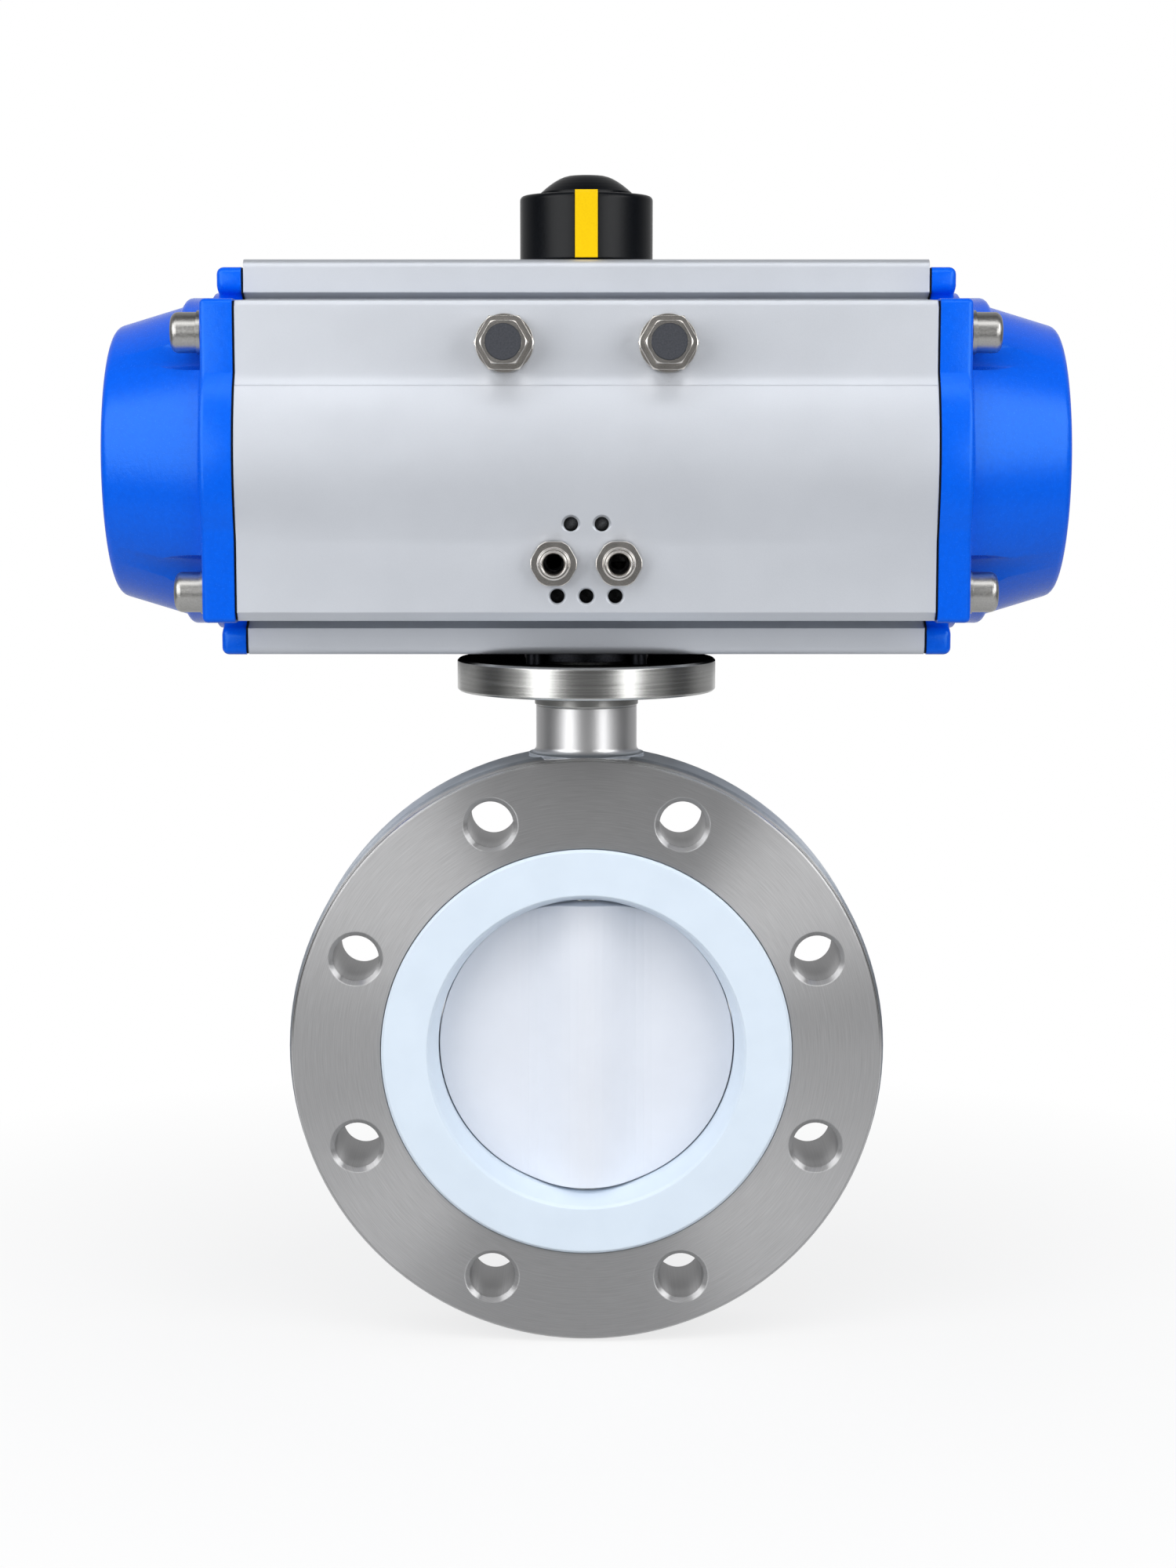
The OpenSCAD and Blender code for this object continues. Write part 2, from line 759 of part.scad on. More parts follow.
// Solid bar with the housing's outline, grown outward by a small amount
module housing_bar(length, grow) {
    groove_y = pad_half - pad_groove;
    flat_u = upper_flat + grow;
    flat_l = lower_flat + grow;
    bulge = bulge_r + grow;
    blend = 20;
    blend_y = sqrt(bulge * bulge - blend * blend);
    crease_y = crease_half(grow);
    foot = -blend - (blend_y - flat_l) * blend_y / blend;
    top = shoulder_z + grow;
    base = -base_shoulder_z - grow;
    union() {
        run_x(length) polygon([
            [10 - flat_u, crease_z - 10], [-crease_y, crease_z + grow], [-flat_u, crease_z + crease_rise],
            [-flat_u, top - 3], [-flat_u + 2, top], [-groove_y, top + 2], [groove_y, top + 2],
            [flat_u - 2, top], [flat_u, top - 3], [flat_u, crease_z + crease_rise],
            [crease_y, crease_z + grow], [flat_u - 10, crease_z - 10]
        ]);
        run_x(length) intersection() {
            circle(r = bulge, $fn = 160);
            translate([-bulge - eps, -blend]) square([2 * (bulge + eps), blend + crease_z + grow]);
        }
        run_x(length) polygon([
            [2 - blend_y, 4 - blend], [-blend_y, -blend], [-flat_l, foot], [-flat_l, base + 4],
            [-flat_l + 4, base], [flat_l - 4, base], [flat_l, base + 4], [flat_l, foot],
            [blend_y, -blend], [blend_y - 2, 4 - blend]
        ]);
        run_x(length) pads_section(grow, top_pad_z, base_pad_z);
    }
}

// Top and bottom pads of the housing, with their grooves
module pads_section(grow, high, low) {
    half = pad_half + grow;
    neck = pad_half - pad_groove;
    top = shoulder_z + grow;
    base = base_shoulder_z + grow;
    polygon([
        [-neck, top - 10], [-neck, top + 2.4], [-half, top + 5],
        for (a = [0:30:90]) [pad_round * (1 - cos(a)) - half, high - pad_round * (1 - sin(a))],
        for (a = [90:-30:0]) [half - pad_round * (1 - cos(a)), high - pad_round * (1 - sin(a))],
        [half, top + 5], [neck, top + 2.4], [neck, top - 10]
    ]);
    polygon([
        [-neck, 10 - base], [-neck, -base - 3], [-half, -base - 6],
        for (a = [0:30:90]) [pad_round * (1 - cos(a)) - half, pad_round * (1 - sin(a)) - low],
        for (a = [90:-30:0]) [half - pad_round * (1 - cos(a)), pad_round * (1 - sin(a)) - low],
        [half, -base - 6], [neck, -base - 3], [neck, 10 - base]
    ]);
}

module accessory_hole(x, z, face, depth) {
    r = pilot_hole_d / 2;
    sink = 0.9;
    // It opens 2 mm beyond its face, where the wall curves out over it
    translate([x, -face, z]) along_y() rotate_extrude() polygon([
        [0, -2], [r + sink, -2], [r + sink, -0.01], [r, sink], [r, depth], [0, depth]
    ]);
}

module actuator_housing() {
    link_z = base_shoulder_z - 5;
    link_y = cyl_r - 25;
    drop_y = sqrt(cyl_r * cyl_r - port_z * port_z) + 5;
    upper_face = sqrt(bulge_r * bulge_r - upper_pair_z * upper_pair_z);
    color(silver) lift() difference() {
        translate([-half_l, 0, 0]) housing_bar(housing_l, 0);
        translate([-half_l - eps, 0, 0]) along_x() cylinder(r = cyl_r, h = housing_l + 2 * eps, $fn = 160);
        for (side = [-1, 1]) {
            // Cap screw holes
            for (y = [-cap_screw_y, cap_screw_y], z = [-cap_screw_z, cap_screw_z])
                translate([side * (half_l - cap_hole_depth), y, z]) rotate([0, side * 90, 0])
                    cylinder(r = cap_screw_r + thread_gap, h = cap_hole_depth + eps);
            // Stop screw holes
            translate([side * stop_x, -upper_flat - eps, stop_z]) along_y()
                cylinder(r = stop_d / 2 + thread_gap, h = 40);
            // Air ports
            translate([side * port_x, -lower_flat - eps, -port_z]) along_y()
                cylinder(r = port_d / 2 + thread_gap, h = port_thread_l + eps);
            accessory_hole(side * upper_pair, -upper_pair_z, upper_face, 5);
        }
        translate([-port_x, -lower_flat, -port_z]) along_y() cylinder(r = port_bore_r, h = 30);
        // Passages from port b down, across and along to both ends
        translate([port_x, -lower_flat, -port_z]) along_y()
            cylinder(r = port_bore_r, h = lower_flat - drop_y);
        translate([port_x, -drop_y, -link_z - drop_r]) cylinder(r = drop_r, h = link_z + drop_r - port_z);
        translate([port_x, -drop_y, -link_z]) along_y() cylinder(r = cross_r, h = drop_y - link_y);
        translate([-half_l - eps, -link_y, -link_z]) along_x() cylinder(r = run_r, h = housing_l + 2 * eps);
        for (i = [-1:1]) accessory_hole(i * lower_row, -lower_row_z, lower_flat, 7);
        // Pinion bearings
        translate([0, 0, -base_pad_z - eps]) cylinder(r = low_journal_r + bearing_t + 2 * fit, h = 40);
        translate([0, 0, top_pad_z - 40]) cylinder(r = top_journal_r + bearing_t + 2 * fit, h = 40 + eps);
        // Base and top accessory screws
        for (turn = [45:90:315]) rotate([0, 0, turn])
            translate([actuator_pcd / 2, 0, -base_pad_z - eps])
                cylinder(r = mount_screw_r + thread_gap, h = mount_bury + 1 + eps);
        translate([0, 0, top_pad_z - 9]) corners(top_hole_x, top_hole_y)
            cylinder(r = top_hole_d / 2, h = 10);
    }
}

// End cap drawn for the right-hand end
module end_cap() {
    fillet = 6;
    root = 3;
    inner_r = cyl_r - piston_gap;
    cup_in = cup_x - cup_wall;
    pocket_r = cap_head_r + 7.5;
    ear_drop = 3.6;
    color(blue) difference() {
        union() {
            translate([plate_x, 0, 0]) run_x(cap_plate_t) cap_block();
            translate([plate_x, 0, 0]) run_x(cap_ear_t)
                pads_section(cap_grow, top_pad_z - ear_drop, base_pad_z);
            translate([plate_x - spigot_l, 0, 0]) along_x() tube(inner_r, inner_r - cup_wall, spigot_l + eps);
            along_x() rotate_extrude($fn = 120) polygon([
                [0, cap_x - 2],
                [cup_base_r + root, cap_x - 2],
                [cup_base_r + root, cap_x],
                [cup_base_r + root * 0.2, cap_x + root * 0.2],
                [cup_base_r - root * 0.36, cap_x + root],
                [cup_end_r, cup_x - fillet],
                for (a = [20:20:80]) [
                    cup_end_r - fillet + fillet * cos(a), cup_x - fillet + fillet * sin(a)
                ],
                [0, cup_x]
            ]);
            intersection() {
                along_x() rotate_extrude($fn = 120) polygon([
                    [0, cap_x - 2],
                    [rib_r, cap_x - 2],
                    [rib_r, cap_x + rib_l - root],
                    [rib_r - root * 0.3, cap_x + rib_l - root * 0.3],
                    [rib_r - root, cap_x + rib_l],
                    [0, cap_x + rib_l]
                ]);
                translate([cap_x - 2, -rib_half, -rib_r - eps]) cube([rib_l + 3, 2 * rib_half, 2 * (rib_r + eps)]);
            }
        }
        along_x() rotate_extrude($fn = 120) polygon([
            [0, plate_x - spigot_l - eps],
            [inner_r - cup_wall, plate_x - spigot_l - eps],
            [inner_r - cup_wall - 3, plate_x],
            [inner_r - cup_wall - 3, cap_x + rib_l],
            [cup_end_r - cup_wall, cup_in],
            [0, cup_in]
        ]);
        for (y = [-cap_screw_y, cap_screw_y], z = [-cap_screw_z, cap_screw_z]) translate([0, y, z]) {
            translate([plate_x - eps, 0, 0]) along_x()
                cylinder(r = cap_screw_r + 0.5, h = cap_plate_t + 2 * eps);
            translate([cap_x, 0, 0]) along_x() cylinder(r = pocket_r, h = cup_l);
        }
    }
}

// Plate of the end cap over the housing's main block
module cap_block() {
    grow = cap_grow;
    flat_u = upper_flat + grow;
    flat_l = lower_flat + grow;
    bulge = bulge_r + grow;
    foot_z = sqrt(bulge * bulge - flat_l * flat_l);
    crease_y = crease_half(grow);
    top = shoulder_z + grow;
    base = -base_shoulder_z - grow;
    r = 4;
    union() {
        intersection() {
            circle(r = bulge, $fn = 160);
            translate([-bulge - eps, -foot_z - 2]) square([2 * (bulge + eps), foot_z + 2 + crease_z + grow]);
        }
        polygon([
            [10 - flat_u, crease_z - 20], [-crease_y, crease_z + grow], [-flat_u, crease_z + crease_rise],
            [-flat_u, top - r], [-flat_u + r * 0.3, top - r * 0.3], [-flat_u + r, top],
            [flat_u - r, top], [flat_u - r * 0.3, top - r * 0.3], [flat_u, top - r],
            [flat_u, crease_z + crease_rise], [crease_y, crease_z + grow], [flat_u - 10, crease_z - 20]
        ]);
        polygon([
            [-flat_l, 20 - foot_z], [-flat_l, base + r], [-flat_l + r * 0.3, base + r * 0.3],
            [-flat_l + r, base], [flat_l - r, base], [flat_l - r * 0.3, base + r * 0.3],
            [flat_l, base + r], [flat_l, 20 - foot_z]
        ]);
    }
}

module end_cap_left() {
    lift() mirror([1, 0, 0]) end_cap();
}

module end_cap_right() {
    lift() end_cap();
}

module cap_gasket(side) {
    reach = 2 * (base_pad_z - 0.6);
    color(rubber) lift() translate([side > 0 ? half_l : -plate_x, 0, 0]) difference() {
        intersection() {
            housing_bar(gasket_t, -0.4);
            translate([-eps, -reach, -reach / 2]) cube([gasket_t + 2 * eps, 2 * reach, reach]);
        }
        translate([-eps, 0, 0]) along_x() cylinder(r = cyl_r, h = gasket_t + 2 * eps, $fn = 160);
        for (y = [-cap_screw_y, cap_screw_y], z = [-cap_screw_z, cap_screw_z])
            translate([-eps, y, z]) along_x() cylinder(r = cap_screw_r + 0.3, h = gasket_t + 2 * eps);
    }
}

module cap_gasket_left() {
    cap_gasket(-1);
}

module cap_gasket_right() {
    cap_gasket(1);
}

module at_cap_screws(side, x) {
    for (y = [-cap_screw_y, cap_screw_y], z = [-cap_screw_z, cap_screw_z])
        translate([side * x, y, z]) rotate([0, side * 90, 0]) children();
}

module cap_screws(side) {
    color(bright) lift() at_cap_screws(side, cap_x + cap_washer_t + washer_gap)
        socket_screw(cap_screw_r, cap_screw_l + washer_gap, cap_head_r, cap_head_h, 8);
}

module cap_screws_left() {
    cap_screws(-1);
}

module cap_screws_right() {
    cap_screws(1);
}

module cap_washers(side) {
    color(bright) lift() at_cap_screws(side, cap_x) tube(cap_head_r + 0.8, cap_screw_r + 0.3, cap_washer_t);
}

module cap_washers_left() {
    cap_washers(-1);
}

module cap_washers_right() {
    cap_washers(1);
}

// Rack outline in (X, Y): teeth face the pinion, with a tooth space at x = 0
module rack_profile() {
    slope = tan(pressure);
    half_gap = gear_pitch / 4;
    root_half = half_gap - dedendum * slope;
    tip_half = half_gap + addendum * slope;
    spaces = [for (i = [-4:1]) i * gear_pitch];
    polygon([
        [-rack_end, -rack_back_y],
        [-rack_end, -rack_tip_y],
        for (x = spaces) each [
            [x - tip_half, -rack_tip_y],
            [x - root_half, -rack_root_y],
            [x + root_half, -rack_root_y],
            [x + tip_half, -rack_tip_y]
        ],
        [piston_x + eps, -rack_tip_y],
        [piston_x + eps, -rack_back_y]
    ]);
}

// Piston drawn for the right-hand side, its rack in front of the pinion
module piston() {
    color(silver) union() {
        along_x() rotate_extrude($fn = 160) polygon([
            [0, piston_x],
            [piston_r - 1, piston_x],
            [piston_r, piston_x + 1],
            [piston_r, wear_x],
            [piston_r - wear_depth, wear_x],
            [piston_r - wear_depth, wear_x + wear_w],
            [piston_r, wear_x + wear_w],
            [piston_r, seal_x],
            [piston_r - seal_depth, seal_x],
            [piston_r - seal_depth, seal_x + seal_w],
            [piston_r, seal_x + seal_w],
            [piston_r, piston_x + piston_t - 1],
            [piston_r - 1, piston_x + piston_t],
            [piston_r - 17, piston_x + piston_t],
            [piston_r - 22, piston_x + 12],
            [0, piston_x + 12]
        ]);
        translate([0, 0, -rack_half]) linear_extrude(2 * rack_half) rack_profile();
        translate([-rack_end, -pad_rib_y, -pad_rib_half])
            cube([pad_len, pad_rib_y - rack_back_y + eps, 2 * pad_rib_half]);
        // Webs that carry the rack arm on the piston head
        translate([0, 0, -pad_rib_half]) linear_extrude(2 * pad_rib_half) polygon([
            [piston_x - 26, -rack_back_y + eps], [piston_x + eps, -rack_back_y + eps],
            [piston_x + eps, -rack_back_y - 20]
        ]);
    }
}

module piston_right() {
    lift() piston();
}

module piston_left() {
    lift() rotate([0, 0, 180]) piston();
}

module piston_ring(x, width, depth, proud, tint) {
    color(tint) translate([x + 0.15, 0, 0]) along_x()
        tube(piston_r + proud, piston_r - depth + fit, width - 0.3);
}

module piston_seal_right() {
    lift() piston_ring(seal_x, seal_w, seal_depth, 0.2, rubber);
}

module piston_seal_left() {
    lift() rotate([0, 0, 180]) piston_ring(seal_x, seal_w, seal_depth, 0.2, rubber);
}

module wear_ring_right() {
    lift() piston_ring(wear_x, wear_w, wear_depth, 0.25, white);
}

module wear_ring_left() {
    lift() rotate([0, 0, 180]) piston_ring(wear_x, wear_w, wear_depth, 0.25, white);
}

module rack_pad() {
    color(white) intersection() {
        translate([-rack_end, -cyl_r, -pad_rib_half]) cube([pad_len, cyl_r - pad_rib_y, 2 * pad_rib_half]);
        translate([-rack_end - eps, 0, 0]) along_x()
            cylinder(r = cyl_r - rest_gap, h = pad_len + 2 * eps, $fn = 160);
    }
}

module rack_pad_right() {
    lift() rack_pad();
}

module rack_pad_left() {
    lift() rotate([0, 0, 180]) rack_pad();
}

// Involute function, in degrees
function inv(a) = tan(a) * 180 / PI - a;

// Half angle of a pinion tooth at radius r
function tooth_half(r) =
    90 / gear_teeth - backlash / 4 / gear_r * 180 / PI + inv(pressure) - inv(acos(min(1, base_r / r)));

function polar(r, a) = [r * cos(a), r * sin(a)];

module pinion_gear_section() {
    tip_r = gear_r + addendum;
    root_r = gear_r - dedendum;
    radii = [for (i = [0:4]) base_r + (tip_r - base_r) * i / 4];
    pitch_a = 360 / gear_teeth;
    polygon([
        for (i = [0:gear_teeth - 1]) let (mid = -90 + i * pitch_a) each [
            polar(root_r, mid - tooth_half(base_r)),
            for (r = radii) polar(r, mid - tooth_half(r)),
            for (k = [len(radii) - 1:-1:0]) polar(radii[k], mid + tooth_half(radii[k])),
            polar(root_r, mid + tooth_half(base_r))
        ]
    ]);
}

module double_d(radius, flat, height) {
    intersection() {
        cylinder(r = radius, h = height);
        translate([-radius - eps, -flat, 0]) cube([2 * (radius + eps), 2 * flat, height]);
    }
}

module pinion() {
    low_seal = -base_pad_z + 6;
    top_seal = top_pad_z - 8;
    groove = 2;
    groove_w = 3;
    shank_r = gear_r - dedendum - 2;
    color(bright) lift() difference() {
        union() {
            rotate_extrude() polygon([
                [0, pinion_low],
                [low_journal_r - 1, pinion_low],
                [low_journal_r, pinion_low + 1],
                [low_journal_r, low_seal],
                [low_journal_r - groove, low_seal],
                [low_journal_r - groove, low_seal + groove_w],
                [low_journal_r, low_seal + groove_w],
                [low_journal_r, low_bearing_top + 1],
                [shank_r, low_bearing_top + 2],
                [shank_r, cam_z],
                [top_journal_r, cam_z],
                [top_journal_r, top_seal],
                [top_journal_r - groove, top_seal],
                [top_journal_r - groove, top_seal + groove_w],
                [top_journal_r, top_seal + groove_w],
                [top_journal_r, pin_circlip_z - fit],
                [top_journal_r - 1.5, pin_circlip_z - fit],
                [top_journal_r - 1.5, pin_circlip_z + circlip_t + fit],
                [top_journal_r, pin_circlip_z + circlip_t + fit],
                [top_journal_r, head_z],
                [0, head_z]
            ]);
            translate([0, 0, -gear_half]) linear_extrude(2 * gear_half) pinion_gear_section();
            translate([0, 0, cam_z - eps]) double_d(cam_seat_r, cam_flat, cam_t + eps);
            translate([0, 0, head_z - eps]) double_d(head_r, head_r * 0.8, head_top - head_z + eps);
        }
        translate([0, 0, pinion_low - eps]) linear_extrude(socket_depth + eps)
            square(drive_af + 0.3, center = true);
        translate([0, 0, head_top - 14]) cylinder(r = tap_r, h = 15);
    }
}

module pinion_seals() {
    groove = 2;
    color(rubber) lift() {
        translate([0, 0, -base_pad_z + 6.1]) tube(low_journal_r, low_journal_r - groove + fit, 2.8);
        translate([0, 0, top_pad_z - 7.9]) tube(top_journal_r, top_journal_r - groove + fit, 2.8);
    }
}

module pinion_lower_bearing() {
    color(bronze) lift() translate([0, 0, -base_pad_z])
        tube(low_journal_r + bearing_t + fit, low_journal_r + fit, low_bearing_top + base_pad_z);
}

module pinion_upper_bearing() {
    color(bronze) lift() translate([0, 0, top_bearing_low])
        tube(top_journal_r + bearing_t + fit, top_journal_r + fit, top_pad_z - top_bearing_low);
}

module thrust_washer() {
    color(bronze) lift() translate([0, 0, thrust_z]) tube(top_journal_r + 5.5, top_journal_r + 0.1, thrust_t);
}

module pinion_circlip() {
    clip_r = top_journal_r + 3;
    color(black) lift() translate([0, 0, pin_circlip_z]) difference() {
        tube(clip_r, top_journal_r - 1.5 + fit, circlip_t);
        translate([-3, 0, -eps]) cube([6, clip_r + eps, circlip_t + 2 * eps]);
    }
}

// Sector cam: one flat end meets each stop screw
module stop_cam() {
    reach = cam_r + 5;
    color(steel) lift() translate([0, 0, cam_z]) difference() {
        union() {
            cylinder(r = cam_hub_r, h = cam_t);
            intersection() {
                cylinder(r = cam_r, h = cam_t);
                translate([-stop_face, -stop_face, 0]) cube([reach + stop_face, reach + stop_face, cam_t]);
            }
        }
        translate([0, 0, -eps]) double_d(cam_seat_r + fit, cam_flat + fit, cam_t + 2 * eps);
    }
}

module at_stop(side, y) {
    lift() translate([side * stop_x, -y, stop_z]) along_y() children();
}

module stop_screw(side) {
    face = upper_flat + stop_nut_t + rest_gap;
    socket = 1;
    color(bright) at_stop(side, face + stop_head_t) difference() {
        union() {
            hex_prism(stop_head_af, stop_head_t);
            cylinder(r = stop_d / 2, h = face + stop_head_t - stop_tip);
        }
        translate([0, 0, -eps]) cylinder(r = stop_head_af / 2 - 1.4, h = socket + eps);
    }
}

module stop_screw_left() {
    stop_screw(-1);
}

module stop_screw_right() {
    stop_screw(1);
}

module stop_nut(side) {
    washer = 2.5;
    color(bright) at_stop(side, upper_flat + stop_nut_t) difference() {
        union() {
            hex_prism(stop_nut_af, stop_nut_t - washer + 0.5);
            translate([0, 0, stop_nut_t - washer]) cylinder(r = stop_nut_af / 2 + 1.2, h = washer);
        }
        translate([0, 0, -eps]) cylinder(r = stop_d / 2 + thread_gap, h = stop_nut_t + 2 * eps);
    }
}

module stop_nut_left() {
    stop_nut(-1);
}

module stop_nut_right() {
    stop_nut(1);
}

module stop_screw_plugs() {
    color([0.3, 0.31, 0.33]) for (side = [-1, 1])
        at_stop(side, upper_flat + stop_nut_t + rest_gap + stop_head_t + 0.3)
            cylinder(r = stop_head_af / 2 - 1.45, h = 1.25);
}

module air_fitting(x) {
    hex_t = fitting_l * 0.55;
    nose_r = 7.4;
    lip_r = 6;
    step = 2;
    color(bright) lift() translate([x, -lower_flat - fitting_l, -port_z]) along_y() difference() {
        union() {
            rotate_extrude() polygon([
                [0, 0], [lip_r - 0.5, 0], [lip_r, 0.5], [lip_r, step], [nose_r - 0.6, step],
                [nose_r, step + 0.6], [nose_r, fitting_l - 1], [0, fitting_l - 1]
            ]);
            translate([0, 0, fitting_l - hex_t - 0.8]) intersection() {
                hex_prism(fitting_af, hex_t, 1.4);
                cylinder(r = fitting_af / 2 + 0.6, h = hex_t);
            }
            translate([0, 0, fitting_l - 1]) cylinder(r = port_d / 2, h = port_thread_l);
        }
        translate([0, 0, -eps]) cylinder(r = fitting_bore / 2, h = fitting_l + port_thread_l + 2 * eps);
        translate([0, 0, -0.01]) cylinder(r1 = fitting_bore / 2 + 0.9, r2 = fitting_bore / 2, h = 0.9);
    }
}

module air_fitting_a() {
    air_fitting(-port_x);
}

module air_fitting_b() {
    air_fitting(port_x);
}

module fitting_seals() {
    color(rubber) for (side = [-1, 1]) lift()
        translate([side * port_x, -lower_flat - 0.78, -port_z]) along_y() tube(9, port_d / 2 + 0.1, 0.76);
}

// Channel-shaped strip, grown all round to cut its seat
module strip_form(grow) {
    half_w = strip_w / 2 + grow;
    inner_y = strip_y - strip_t - grow;
    low = indicator_z + 0.4 - (grow > 0 ? eps : 0);
    bevel = 0.9;
    rotate([90, 0, 90]) translate([0, 0, -half_w]) linear_extrude(2 * half_w) polygon([
        [-strip_y - grow, low],
        [-strip_y - grow, strip_top - bevel],
        [-strip_y + bevel, strip_top + grow],
        [strip_y - bevel, strip_top + grow],
        [strip_y + grow, strip_top - bevel],
        [strip_y + grow, low],
        [inner_y, low],
        [inner_y, strip_top - strip_t - grow],
        [-inner_y, strip_top - strip_t - grow],
        [-inner_y, low]
    ]);
}

module indicator_cap() {
    r = indicator_d / 2;
    lip = 2.2;
    color(black) lift() difference() {
        rotate_extrude() polygon([
            [0, indicator_z],
            [r - 0.6, indicator_z],
            [r, indicator_z + 0.6],
            [r, indicator_top - lip],
            for (a = [15:15:75]) [r - lip + lip * cos(a), indicator_top - lip + lip * sin(a)],
            [r - lip, indicator_top],
            [0, indicator_top]
        ]);
        translate([0, 0, indicator_z - eps]) cylinder(r = cavity_r, h = head_z - indicator_z + eps + 0.3);
        translate([0, 0, head_z]) double_d(head_r + fit, head_r * 0.8 + fit, head_top - head_z + fit);
        translate([0, 0, head_top - eps]) cylinder(r = tap_clear_r, h = 20);
        translate([0, 0, screw_seat_z]) cylinder(r = screw_sink_r, h = 20);
        strip_form(fit);
    }
}

module indicator_strip() {
    color(yellow) lift() strip_form(0);
}

// Height of the dome's skin at radius r: a flat crown with falling sides
function dome_z(r) =
    dome_rim + (dome_h - dome_rim) * (1 - pow(max(0, r - dome_crown) / (dome_d / 2 - dome_crown), 1.6));

module indicator_dome() {
    r = dome_d / 2;
    steps = 10;
    color(black) lift() difference() {
        translate([0, 0, indicator_top + fit]) rotate_extrude() polygon([
            [0, 0],
            [r, 0],
            for (i = [steps:-1:0]) [r * i / steps, dome_z(r * i / steps)]
        ]);
        strip_form(fit);
    }
}

module indicator_screw() {
    color(bright) lift() translate([0, 0, screw_seat_z + fit])
        socket_screw(3, screw_seat_z - head_top + 10, 5, 3, 4);
}

valve_body();
top_flange();
seat_liner();
liner_backing();
disc_core();
disc_lining();
upper_stem();
lower_stem();
stem_thrust_washer();
neck_lower_bush();
neck_upper_bush();
stem_seals();
gland_ring();
gland_circlip();
bottom_bush();
bottom_plug();
bottom_plug_seal();
spacer_ring();
mounting_screws();
actuator_housing();
end_cap_left();
end_cap_right();
cap_gasket_left();
cap_gasket_right();
cap_screws_left();
cap_screws_right();
cap_washers_left();
cap_washers_right();
piston_left();
piston_right();
piston_seal_left();
piston_seal_right();
wear_ring_left();
wear_ring_right();
rack_pad_left();
rack_pad_right();
pinion();
pinion_seals();
pinion_lower_bearing();
pinion_upper_bearing();
thrust_washer();
pinion_circlip();
stop_cam();
stop_screw_left();
stop_screw_right();
stop_nut_left();
stop_nut_right();
stop_screw_plugs();
air_fitting_a();
air_fitting_b();
fitting_seals();
indicator_cap();
indicator_strip();
indicator_dome();
indicator_screw();
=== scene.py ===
"""Looks of a flanged butterfly valve with a pneumatic actuator, built round its CAD frame."""

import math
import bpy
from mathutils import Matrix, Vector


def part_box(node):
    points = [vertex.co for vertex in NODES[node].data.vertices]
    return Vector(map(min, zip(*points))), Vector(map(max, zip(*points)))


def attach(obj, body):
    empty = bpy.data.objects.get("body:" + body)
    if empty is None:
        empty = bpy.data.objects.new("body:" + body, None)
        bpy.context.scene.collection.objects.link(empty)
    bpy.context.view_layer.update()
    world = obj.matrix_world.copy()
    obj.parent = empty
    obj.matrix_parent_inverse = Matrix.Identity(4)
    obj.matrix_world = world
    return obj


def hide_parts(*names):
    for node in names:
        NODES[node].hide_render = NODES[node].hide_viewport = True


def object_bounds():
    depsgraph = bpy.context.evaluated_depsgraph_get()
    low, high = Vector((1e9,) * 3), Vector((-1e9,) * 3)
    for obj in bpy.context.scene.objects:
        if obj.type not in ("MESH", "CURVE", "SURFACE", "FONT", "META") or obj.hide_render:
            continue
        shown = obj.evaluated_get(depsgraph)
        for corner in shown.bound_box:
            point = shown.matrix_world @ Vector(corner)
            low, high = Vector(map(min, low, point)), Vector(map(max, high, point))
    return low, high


bl_info = {
    "name": "Pneumatic butterfly valve",
    "version": (1, 0, 0),
    "blender": (4, 5, 0),
    "location": "3D View > Sidebar > Valve",
    "description": "Dresses the CAD frame of a pneumatic butterfly valve and lights it",
    "category": "Object",
}

import bpy
from mathutils import Vector

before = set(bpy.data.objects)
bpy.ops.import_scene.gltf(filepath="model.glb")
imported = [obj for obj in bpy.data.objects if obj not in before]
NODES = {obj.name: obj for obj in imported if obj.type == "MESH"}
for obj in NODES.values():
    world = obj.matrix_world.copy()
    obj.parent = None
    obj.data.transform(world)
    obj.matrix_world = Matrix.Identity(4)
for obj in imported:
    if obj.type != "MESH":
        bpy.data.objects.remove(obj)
CAD_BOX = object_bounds()
MM = 0.001
# Points closer than this are one point
SAME_POINT = 0.005 * MM
# The cylinder's axis, which the pistons and both end caps share
AXIS_Z = (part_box("piston_left")[0].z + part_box("piston_left")[1].z) / 2
FLOOR_Z = CAD_BOX[0][2]
# The end cap's plate starts at the gasket; its thickness is in millimetres
PLATE_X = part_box("cap_gasket_right")[1].x
PLATE_T = 15


def linear(code):
    """Linear colour of an sRGB hex code."""
    out = []
    for i in (0, 2, 4):
        c = int(code[i : i + 2], 16) / 255
        out.append(c / 12.92 if c <= 0.04045 else ((c + 0.055) / 1.055) ** 2.4)
    return (*out, 1.0)


def add(tree, kind, inputs=None, **settings):
    """Adds a shader node; an input is given a value or another node's output."""
    made = tree.nodes.new(kind)
    for name, value in settings.items():
        setattr(made, name, value)
    for name, value in (inputs or {}).items():
        if isinstance(value, bpy.types.NodeSocket):
            tree.links.new(value, made.inputs[name])
        else:
            made.inputs[name].default_value = value
    return made


def new_material(name):
    """An empty material with an output and a principled shader."""
    made = bpy.data.materials.new(name)
    made.use_nodes = True
    tree = made.node_tree
    tree.nodes.clear()
    shader = add(tree, "ShaderNodeBsdfPrincipled")
    out = add(tree, "ShaderNodeOutputMaterial")
    tree.links.new(shader.outputs["BSDF"], out.inputs["Surface"])
    return made, tree, shader


